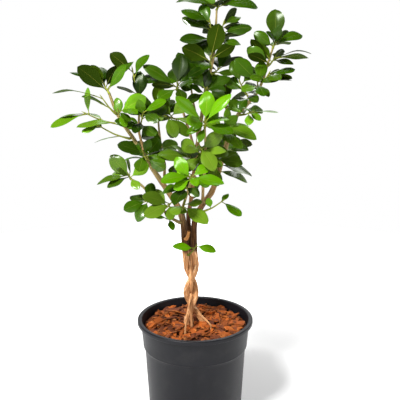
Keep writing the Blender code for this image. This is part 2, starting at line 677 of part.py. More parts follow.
def leaf_rings(leaf, grow=0.0, blade_only=False):
    """Three-sided sections of a leaf, two edges and a keel, from foot to tip; grow thickens them."""
    along = leaf["reach"]
    length = along.length
    facing = leaf["facing"]
    normal = (facing - along * (facing.dot(along) / length**2)).normalized()
    across = along.cross(normal).normalized()
    stations = [] if blade_only else [(0.0, PETIOLE_WIDTH / 2)]
    stations.append((PETIOLE_SHARE, PETIOLE_WIDTH / 2))
    for share in BLADE_SECTIONS:
        half = leaf["width"] / 2 * half_width(share)
        stations.append((PETIOLE_SHARE + (1 - PETIOLE_SHARE) * share, half))
    stations.append((1.0, leaf["width"] * TIP_SHARE / 2))
    rings = []
    for t, half in stations:
        centre = leaf["foot"] + along * t + normal * (leaf["bow"] * length * 4 * t * (1 - t))
        top = normal * (LEAF_THICKNESS / 2 + grow + leaf["fold"] * max(0.0, half - PETIOLE_WIDTH / 2))
        keel = normal * (LEAF_THICKNESS / 2 + grow)
        side = across * (half + grow)
        rings.append([centre - side + top, centre + side + top, centre - keel])
    return rings


def tube_rings(route, grow=0.0):
    """Six-sided sections of a round tube along a route."""
    rings = []
    for i, point in enumerate(route):
        ahead = (route[min(i + 1, len(route) - 1)] - route[max(i - 1, 0)]).xyz.normalized()
        side = ahead.orthogonal() if i == 0 else side - ahead * side.dot(ahead)
        side.normalize()
        rings.append([
            point.xyz + Matrix.Rotation(math.pi / 3 * k, 3, ahead) @ side * (point.w + grow) for k in range(6)
        ])
    return rings


def loft(rings):
    """The points and faces of a closed skin over sections with the same number of corners."""
    size = len(rings[0])
    points = [corner for ring in rings for corner in ring]
    faces = [tuple(range(size)), tuple(range(len(points) - 1, len(points) - 1 - size, -1))]
    for i in range(len(rings) - 1):
        for k in range(size):
            low, high = i * size, (i + 1) * size
            faces.append((low + k, high + k, high + (k + 1) % size, low + (k + 1) % size))
    return points, faces


def tree_of(skins):
    """One search tree over several skins."""
    points, faces = [], []
    for skin_points, skin_faces in skins:
        faces += [tuple(len(points) + i for i in face) for face in skin_faces]
        points += skin_points
    return BVHTree.FromPolygons(points, faces)


def turned(reach, size, tries):
    """A leaf's reach, shortened to size and swung aside: each further try swings it a little more."""
    heading = math.atan2(reach.y, reach.x)
    rise = math.asin(reach.z / reach.length)
    swing = math.radians(SWERVE_DEG) * math.sqrt(tries)
    heading += swing * math.cos(GOLDEN_ANGLE * tries) / max(0.3, math.cos(rise))
    rise = max(-1.5, min(1.5, rise + swing * math.sin(GOLDEN_ANGLE * tries)))
    flat = math.cos(rise)
    return reach.length * size * Vector((flat * math.cos(heading), flat * math.sin(heading), math.sin(rise)))


def place_leaf(leaf, others, own):
    """Turns a leaf, and shortens it if it must be, until it is clear of everything placed before it."""
    wanted, width = leaf["reach"], leaf["width"]
    for size in LEAF_SIZES:
        leaf["width"] = width * size
        for tries in range(SWERVES):
            leaf["reach"] = turned(wanted, size, tries)
            whole = tree_of([loft(leaf_rings(leaf, LEAF_CLEARANCE))])
            if whole.overlap(others):
                continue
            blade = tree_of([loft(leaf_rings(leaf, LEAF_CLEARANCE, True))])
            if not blade.overlap(own):
                return
    raise ValueError("no room for a leaf")


def proportioned(reach, width):
    """Keeps a leaf from being stubby: it grows longer as far as it may, and is then made narrower."""
    reach = reach * min(LEAF_STRETCH, max(1.0, LEAF_SLENDER * width / reach.length))
    return reach, min(width, reach.length / LEAF_SLENDER)


def plan_leaves(wood, twigs):
    """Each shoot's leaves, each turned until it is clear of the wood and of the leaves placed before it."""
    bark = [loft(tube_rings(route, LEAF_CLEARANCE)) for route in wood.values()]
    placed = {}
    for name, _, _, _, rows in SHOOTS:
        twig_skins = [loft(tube_rings(twigs[n], LEAF_CLEARANCE)) for n in twigs if n != name]
        leaf_skins = [loft(leaf_rings(leaf)) for leaves in placed.values() for leaf in leaves]
        others = tree_of(bark + twig_skins + leaf_skins)
        own_skins = [loft(tube_rings(twigs[name]))]
        leaves = []
        for i, (place, reach, width, facing) in enumerate(rows):
            chance = random.Random(f"{name} {i}")
            reach, width = proportioned(Vector(reach) * MM, width * MM * LEAF_FULLNESS)
            leaf = {
                "foot": on_twig(twigs[name], place),
                "reach": reach * LEAF_SCALE,
                "width": width * LEAF_SCALE,
                "facing": sum((FACES[letter] for letter in facing), Vector()),
                "bow": chance.uniform(*BOW),
                "fold": chance.uniform(*FOLD),
            }
            place_leaf(leaf, others, tree_of(own_skins))
            own_skins.append(loft(leaf_rings(leaf, 0.0, True)))
            leaves.append(leaf)
        placed[name] = leaves
    return placed


# ---- Objects ----

def new_collection(name):
    collection = bpy.data.collections.new(name)
    bpy.context.scene.collection.children.link(collection)
    return collection


def finish_object(name, data, collection, look):
    """Links an object and gives it its own material."""
    colour, roughness = look
    obj = bpy.data.objects.new(name, data)
    collection.objects.link(obj)
    material = bpy.data.materials.new(name)
    material.use_nodes = True
    shader = material.node_tree.nodes["Principled BSDF"]
    shader.inputs["Base Color"].default_value = (*colour, 1.0)
    shader.inputs["Roughness"].default_value = roughness
    shader.inputs["Metallic"].default_value = 0.0
    data.materials.clear()
    data.materials.append(material)
    return obj


def tube_curve(name, route, detail=2):
    """A round tube along a route, with filled ends."""
    curve = bpy.data.curves.new(name, "CURVE")
    curve.dimensions = "3D"
    curve.bevel_depth = 1.0
    curve.bevel_resolution = detail
    curve.use_fill_caps = True
    spline = curve.splines.new("POLY")
    spline.points.add(len(route) - 1)
    for spot, point in zip(spline.points, route):
        spot.co = (*point.xyz, 1.0)
        spot.radius = point.w
    return curve


def evaluated_mesh(obj):
    """What an object looks like with its modifiers, as a new mesh with its doubles merged."""
    graph = bpy.context.evaluated_depsgraph_get()
    mesh = bpy.data.meshes.new_from_object(obj.evaluated_get(graph))
    body = bmesh.new()
    body.from_mesh(mesh)
    bmesh.ops.remove_doubles(body, verts=body.verts, dist=1e-6)
    bmesh.ops.recalc_face_normals(body, faces=body.faces)
    body.to_mesh(mesh)
    body.free()
    return mesh


def shade_round(mesh):
    mesh.shade_smooth()
    mesh.set_sharp_from_angle(angle=math.radians(40))


def turned_body(name, profile, collection, look, steps=POT_STEPS):
    """A body turned about Z from a profile of (radius, height) that runs down its outer side."""
    mesh = bpy.data.meshes.new(name)
    mesh.from_pydata([(r, 0.0, z) for r, z in profile], [(i, i + 1) for i in range(len(profile) - 1)], [])
    obj = finish_object(name, mesh, collection, look)
    screw = obj.modifiers.new("turn", "SCREW")
    screw.steps = steps
    screw.render_steps = steps
    screw.use_merge_vertices = True
    screw.merge_threshold = 1e-5
    screw.use_smooth_shade = True
    return obj


def arc(centre, radius, start_deg, end_deg, count):
    """Points on an arc, both ends included."""
    return [
        (centre[0] + radius * math.cos(math.radians(start_deg + (end_deg - start_deg) * i / count)),
         centre[1] + radius * math.sin(math.radians(start_deg + (end_deg - start_deg) * i / count)))
        for i in range(count + 1)
    ]


def inner_radius(z):
    """The radius of the pot's inner wall at height z."""
    if z >= COLLAR_FOOT:
        share = (z - COLLAR_FOOT) / COLLAR_HEIGHT
        return COLLAR_FOOT_RADIUS + COLLAR_DROP_IN * share - WALL
    if z >= COLLAR_FOOT - LEDGE:
        return WALL_TOP_RADIUS + COLLAR_STEP * (z - COLLAR_FOOT + LEDGE) / LEDGE - WALL
    return FOOT_RADIUS + (WALL_TOP_RADIUS - FOOT_RADIUS) * z / (COLLAR_FOOT - LEDGE) - WALL


def cut(body, cutter):
    """Cuts a body with a cutter that stays in the file, out of the render."""
    boolean = body.modifiers.new("cut_" + cutter.name, "BOOLEAN")
    boolean.operation = "DIFFERENCE"
    boolean.solver = "EXACT"
    boolean.object = cutter


def cutter_cylinder(name, centre, radius, bottom, top, cutters):
    """An upright cylinder that cuts a hole."""
    body = bmesh.new()
    bmesh.ops.create_cone(
        body, cap_ends=True, segments=16, radius1=radius, radius2=radius, depth=top - bottom,
        matrix=Matrix.Translation((*centre, (top + bottom) / 2)),
    )
    mesh = bpy.data.meshes.new(name)
    body.to_mesh(mesh)
    body.free()
    obj = bpy.data.objects.new(name, mesh)
    cutters.objects.link(obj)
    obj.display_type = "WIRE"
    obj.hide_render = True
    return obj


def make_pot(parts, cutters):
    lip_bottom = POT_HEIGHT - LIP_HEIGHT
    rounding = LIP_HEIGHT / 3
    inside = [
        (0.0, FLOOR),
        (inner_radius(FLOOR), FLOOR),
        (inner_radius(COLLAR_FOOT - LEDGE), COLLAR_FOOT - LEDGE),
        (inner_radius(COLLAR_FOOT), COLLAR_FOOT),
    ]
    inner_lip = inner_radius(lip_bottom)
    lip = arc((inner_lip + rounding, POT_HEIGHT - rounding), rounding, 180, 90, 3)
    lip += arc((RIM_RADIUS - rounding, POT_HEIGHT - rounding), rounding, 90, 0, 3)
    lip += arc((RIM_RADIUS - rounding / 2, lip_bottom + rounding / 2), rounding / 2, 0, -90, 2)
    outside = [
        (COLLAR_RADIUS, lip_bottom),
        (COLLAR_FOOT_RADIUS, COLLAR_FOOT),
        (WALL_TOP_RADIUS, COLLAR_FOOT - LEDGE),
    ]
    foot = arc((FOOT_RADIUS - FOOT_ROUNDING, FOOT_ROUNDING), FOOT_ROUNDING, 0, -90, 3)
    profile = inside + lip + outside + foot + [(0.0, 0.0)]
    pot = turned_body("pot", profile, parts, BLACK_PLASTIC)
    for i in range(DRAIN_COUNT):
        turn = 2 * math.pi * (i + 0.5) / DRAIN_COUNT
        centre = (DRAIN_CIRCLE * math.cos(turn), DRAIN_CIRCLE * math.sin(turn))
        cut(pot, cutter_cylinder(f"drain_{i + 1}", centre, DRAIN_RADIUS, -FLOOR, 2 * FLOOR, cutters))
    return pot


def filling_levels(top, bottom):
    """The heights at which a filling bends with the pot's wall, from its top down."""
    return [top] + [z for z in (COLLAR_FOOT, COLLAR_FOOT - LEDGE) if bottom < z < top] + [bottom]


def make_soil(parts):
    profile = [(0.0, SOIL_TOP)]
    profile += [(inner_radius(z) - GAP, z) for z in filling_levels(SOIL_TOP, FLOOR + GAP)]
    profile += [(0.0, FLOOR + GAP)]
    return turned_body("potting_soil", profile, parts, DARK_SOIL)


def make_mulch(parts):
    """A layer with an uneven top: rings of a turned disc, each corner raised or lowered a little."""
    bottom = SOIL_TOP + GAP
    rim = inner_radius(bottom) - GAP
    profile = [(rim * i / MULCH_RINGS, MULCH_TOP) for i in range(MULCH_RINGS + 1)]
    profile += [(rim, bottom), (0.0, bottom)]
    turned_disc = turned_body("turned_disc", profile, parts, BARK_CHIPS, MULCH_STEPS)
    mesh = evaluated_mesh(turned_disc)
    bpy.data.objects.remove(turned_disc)
    chance = random.Random(7)
    for spot in mesh.vertices:
        height = chance.uniform(-1.0, 0.6)
        if spot.co.z > MULCH_TOP - 1e-5:
            spot.co.z += MULCH_RELIEF * height
    return finish_object("bark_mulch", mesh, parts, BARK_CHIPS)


def make_shoot(name, twig, leaves, parts):
    """A twig and its leaves, joined into one body."""
    pieces = new_collection("pieces of " + name)
    for i, leaf in enumerate(leaves):
        points, faces = loft(leaf_rings(leaf))
        mesh = bpy.data.meshes.new(f"{name}_leaf_{i + 1}")
        mesh.from_pydata(points, [], faces)
        body = bmesh.new()
        body.from_mesh(mesh)
        bmesh.ops.recalc_face_normals(body, faces=body.faces)
        body.to_mesh(mesh)
        body.free()
        pieces.objects.link(bpy.data.objects.new(mesh.name, mesh))
    curve = bpy.data.objects.new(name + "_twig", tube_curve(name, twig, 1))
    parts.objects.link(curve)
    rod = bpy.data.objects.new(name + "_rod", evaluated_mesh(curve))
    parts.objects.link(rod)
    join = rod.modifiers.new("join", "BOOLEAN")
    join.operation = "UNION"
    join.solver = "EXACT"
    join.operand_type = "COLLECTION"
    join.collection = pieces
    mesh = evaluated_mesh(rod)
    for obj in [curve, rod, *pieces.objects]:
        bpy.data.objects.remove(obj)
    bpy.data.collections.remove(pieces)
    shade_round(mesh)
    return finish_object(name, mesh, parts, LEAF_GREEN)


def main():
    for obj in list(bpy.data.objects):
        bpy.data.objects.remove(obj)
    parts = new_collection(OBJECT_NAME)
    cutters = new_collection("cutters")

    wood, twigs = plan_wood()
    leaves = plan_leaves(wood, twigs)

    make_pot(parts, cutters)
    soil = make_soil(parts)
    mulch = make_mulch(parts)
    for name, route in wood.items():
        foot = route[0] if name.startswith("stem") else route[-1]
        if name.startswith(("stem", "aerial")):
            hole = cutter_cylinder(
                name + "_hole", foot.xy, foot.w + 2 * GAP, foot.z - GAP, MULCH_TOP + 0.02, cutters
            )
            cut(mulch, hole)
            if foot.z < SOIL_TOP:
                cut(soil, hole)
        look = PALE_BARK if name.startswith(("stem", "aerial")) else DARK_BARK
        if name == "pruned_stub":
            look = FRESH_CUT
        finish_object(name, tube_curve(name, route), parts, look)
    for name, twig in twigs.items():
        make_shoot(name, twig, leaves[name], parts)


main()
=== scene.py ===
"""Potted rubber plant: the looks of a small-leaved fig with braided stems in a black nursery pot.

Units are metres, +Z is up and the front is -Y. The plan of the stems, branches, twigs and leaves is the
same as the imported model's, and each fine piece stands for the plain node that it is named for.
"""

import math
import random

import bpy
from bpy.props import FloatProperty, FloatVectorProperty, IntProperty, PointerProperty
from mathutils import Matrix, Vector, noise
from mathutils.bvhtree import BVHTree


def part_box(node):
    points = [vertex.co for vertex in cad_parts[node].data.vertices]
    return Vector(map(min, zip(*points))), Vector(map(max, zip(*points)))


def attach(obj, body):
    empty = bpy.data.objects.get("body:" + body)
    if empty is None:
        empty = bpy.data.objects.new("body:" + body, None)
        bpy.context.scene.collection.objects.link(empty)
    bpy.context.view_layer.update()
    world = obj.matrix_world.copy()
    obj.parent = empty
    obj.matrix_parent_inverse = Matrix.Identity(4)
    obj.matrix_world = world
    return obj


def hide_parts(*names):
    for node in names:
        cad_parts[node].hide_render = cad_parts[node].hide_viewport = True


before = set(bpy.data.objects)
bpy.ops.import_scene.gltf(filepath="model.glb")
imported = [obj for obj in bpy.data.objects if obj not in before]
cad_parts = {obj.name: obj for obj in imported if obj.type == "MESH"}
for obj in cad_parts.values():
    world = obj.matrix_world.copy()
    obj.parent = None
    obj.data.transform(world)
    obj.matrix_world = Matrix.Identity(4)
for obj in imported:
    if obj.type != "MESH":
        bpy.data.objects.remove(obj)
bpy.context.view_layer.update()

bl_info = {
    "name": "Potted rubber plant",
    "version": (1, 0, 0),
    "blender": (4, 5, 0),
    "location": "3D View > Sidebar > Plant",
    "description": "Models a small-leaved fig with braided stems in a round nursery pot",
    "category": "Object",
}

MM = 0.001

# Pot
POT_HEIGHT = 0.175
RIM_RADIUS = 0.095
LIP_WIDTH = 0.0055
LIP_HEIGHT = 0.006
COLLAR_HEIGHT = 0.038
COLLAR_DROP_IN = 0.0035
COLLAR_STEP = 0.0022
FOOT_RADIUS = 0.0765
WALL = 0.0018
FLOOR = 0.003
FOOT_ROUNDING = 0.004
DRAIN_RADIUS = 0.005
DRAIN_CIRCLE = 0.055
DRAIN_COUNT = 8
LEDGE = 0.003
COLLAR_TOP = POT_HEIGHT - LIP_HEIGHT
COLLAR_FOOT = COLLAR_TOP - COLLAR_HEIGHT
COLLAR_RADIUS = RIM_RADIUS - LIP_WIDTH
COLLAR_FOOT_RADIUS = COLLAR_RADIUS - COLLAR_DROP_IN
WALL_TOP_RADIUS = COLLAR_FOOT_RADIUS - COLLAR_STEP

# Filling
MULCH_TOP = 0.162
MULCH_RELIEF = 0.0025
JOINT_GAP = 0.0006

# Braid: the left and right stems wind about each other, and the middle stem crosses in front of them.
BRAID_X = -0.0065
BRAID_Y = 0.004
MIDDLE_SET_FORWARD = 0.002
BRAID_HALF_TURN = 0.048
BRAID_CROSSING = 0.240
BRAID_START = 0.192
BRAID_LEVEL = 0.008
BRAID_END = 0.264
OUTER_STEM_RADIUS = 0.0047
MIDDLE_STEM_RADIUS = 0.0024
BRAID_SPREAD = 0.0030
BRAID_ROOM = 0.0007
BRAID_REACH = OUTER_STEM_RADIUS + BRAID_SPREAD
BRAID_DEPTH = OUTER_STEM_RADIUS + BRAID_ROOM
MIDDLE_ROOM = 0.0010
MIDDLE_SWING = BRAID_DEPTH + OUTER_STEM_RADIUS + MIDDLE_STEM_RADIUS + MIDDLE_ROOM - MIDDLE_SET_FORWARD
FOOT_DEPTH = 0.030
ROOT_RADIUS = 0.0014
STEM_STEP = 0.013
BRANCH_STEP = 0.012
TWIG_STEP = 0.014
ROOT_STEP = 0.008

# Foliage
LEAF_SCALE = 1.0
LEAF_FULLNESS = 0.95
LEAF_SLENDER = 1.88
LEAF_STRETCH = 1.45
LEAF_SIZES = (1.0, 0.85, 0.7, 0.55)
BOW = (0.01, 0.09)
FOLD = (0.03, 0.16)
LEAF_THICKNESS = 0.0012
PETIOLE_WIDTH = 0.0016
PETIOLE_SHARE = 0.13
BLADE_SECTIONS = (0.22, 0.55, 0.86)
TIP_SHARE = 0.22
TWIG_RADIUS = 0.0014
TWIG_TIP_RADIUS = 0.0009
TWIG_SAG = 0.06
LEAF_CLEARANCE = 0.0004
SWERVE_DEG = 2.0
SWERVES = 260
GOLDEN_ANGLE = 2.399963

# Fine pieces
BOX_SLACK = 0.010
BLADE_ACROSS = 6
BLADE_ALONG = 11
STALK_REACH = 0.66
STEM_SIDES = 32
STEM_SECTIONS = 280
BRANCH_SIDES = 14
BRANCH_SECTIONS = 56
BED_DEPTH = 0.003
BED_RINGS = 20
BED_HEAVE = 0.0022
BED_CRUMB = 0.0012
CHIP_HEAVE = 0.0022
CHIP_LIFT = 0.0012
CHIP_DEPTH = 0.0052
STEM_ROOM = 0.006
CHIP_FREE = [Vector((-0.0135, 0.0005, 0)), Vector((-0.0055, -0.0095, 0)), Vector((0.008, 0.0065, 0))]
# Painted shadow of the leaves on the stems: the bark is darkened from the first height up, with a ragged, noisy
# edge, and the darkening fades above the second height.
LEAF_SHADOW_FROM = 0.284
LEAF_SHADOW_TO = 0.352
LEAF_SHADOW_RAGGED = 0.004
LEAF_SHADOW_EDGE = 0.006
LEAF_SHADOW_FADE = 0.05
FLOOR_RADIUS = 1.5
GLOW_REACH = (0.12, 0.85)
BACKDROP_TOP = (0.42, 0.54)
# Leaves whose foot lies nearer the stems' axis than this get painted shade, the nearer the darker.
INNER_SHADE_REACH = 0.09
CAMERA_PLACE = (0.008, -0.804, 0.517)
CAMERA_PITCH = 79.75
CAMERA_LENS = 46.2

# How fresh and how dull each shoot's leaves look, where they differ from the rest.
SHOOT_LOOKS = {
    "shoot_trunk": (0.92, 0.0), "shoot_right_sprig": (0.85, 0.0), "shoot_front_low_tip": (0.88, 0.0),
    "shoot_front_tip": (0.72, 0.05), "shoot_low_left_small": (0.8, 0.0), "shoot_low_left_near": (0.42, 0.6),
    "shoot_low_front": (0.45, 0.5), "shoot_centre_matte": (0.38, 0.55), "shoot_right_face": (0.5, 0.3),
    "shoot_middle_face": (0.42, 0.6), "shoot_right_low": (0.22, 0.3), "shoot_middle_low": (0.28, 0.35),
    "shoot_left_long": (0.45, 0.2), "shoot_left_outer": (0.5, 0.2), "shoot_left_under": (0.6, 0.1),
    "shoot_left_face": (0.5, 0.1), "shoot_left_low_tip": (0.34, 0.3), "shoot_right_wide": (0.5, 0.2),
    "shoot_top": (0.22, 0.05), "shoot_upper_left": (0.06, 0.0), "shoot_left_tip": (0.08, 0.0),
}

# Routes in millimetres: x to the right, y away from the front, z up, and the radius there.
LEFT_ROUTE = [
    (-16, -3, 288, 4.7), (-17.4, -4, 312, 4.8), (-18.4, -4, 334, 4.8), (-22, -5, 352, 4.5),
    (-38, -8, 380, 4.0), (-58, -12, 411, 3.6),
    (-71, -15, 433, 3.3), (-93, -18, 469, 2.9), (-116, -20, 506, 2.4), (-127, -22, 536, 1.8),
]
MIDDLE_ROUTE = [
    (-8, 8, 282, 3.1), (-9, 9.5, 300, 3.8), (-9.6, 10, 320, 3.8), (-11, 12, 338, 3.4), (-7, 13, 366, 3.1),
    (-4, 14, 395, 3.1), (3, 16, 453, 2.9), (12, 15, 510, 2.6),
    (17, 13, 545, 2.4), (22, 11, 565, 2.2), (28, 8, 590, 2.0), (32, 6, 636, 1.7), (33, 5, 660, 1.4),
]
RIGHT_ROUTE = [
    (-1.0, 0, 288, 4.7), (-1.6, 1, 312, 4.8), (-1.0, 2, 334, 4.8), (5, 3, 352, 4.5),
    (20, 6, 374, 4.0), (31, 8, 394, 3.7), (46, 12, 444, 3.3),
    (61, 14, 495, 2.8), (79, 16, 518, 2.5), (97, 14, 539, 2.2), (106, 12, 560, 1.9),
    (112, 10, 582, 1.7), (119, 10, 605, 1.4),
]

# Side branches: name, parent, height in millimetres where it leaves, and its route.
BRANCHES = [
    ("branch_left_low", "stem_left", 338,
     [(-42, -16, 350, 2.2), (-67, -20, 382, 1.9), (-87, -22, 403, 1.7), (-97, -23, 408, 1.4)]),
    ("branch_left_high", "stem_left", 452,
     [(-84, -22, 478, 1.8), (-84, -20, 500, 1.6), (-83, -17, 522, 1.4)]),
    ("branch_front_low", "stem_left", 356,
     [(-16, -34, 374, 2.0), (-10, -56, 396, 1.7), (-5, -69, 412, 1.4)]),
    ("branch_front", "stem_right", 366,
     [(13, -24, 400, 2.3), (16, -44, 444, 1.9), (15, -60, 488, 1.4)]),
    ("branch_centre", "stem_middle", 452,
     [(-10, 2, 484, 2.0), (-20, -4, 516, 1.7), (-27, -6, 542, 1.3)]),
    ("branch_back_left", "stem_left", 398,
     [(-50, 26, 428, 2.2), (-58, 48, 464, 1.8), (-62, 60, 504, 1.4)]),
    ("branch_back_right", "stem_right", 400,
     [(38, 38, 430, 2.2), (48, 58, 470, 1.8), (52, 70, 514, 1.4)]),
    ("pruned_stub", "stem_left", 310,
     [(-11.5, -12.5, 315, 2.2), (-9.5, -14.5, 324, 2.3)]),
    ("branch_back", "stem_middle", 470,
     [(2, 42, 500, 1.9), (-4, 58, 530, 1.6), (-8, 66, 560, 1.3)]),
]

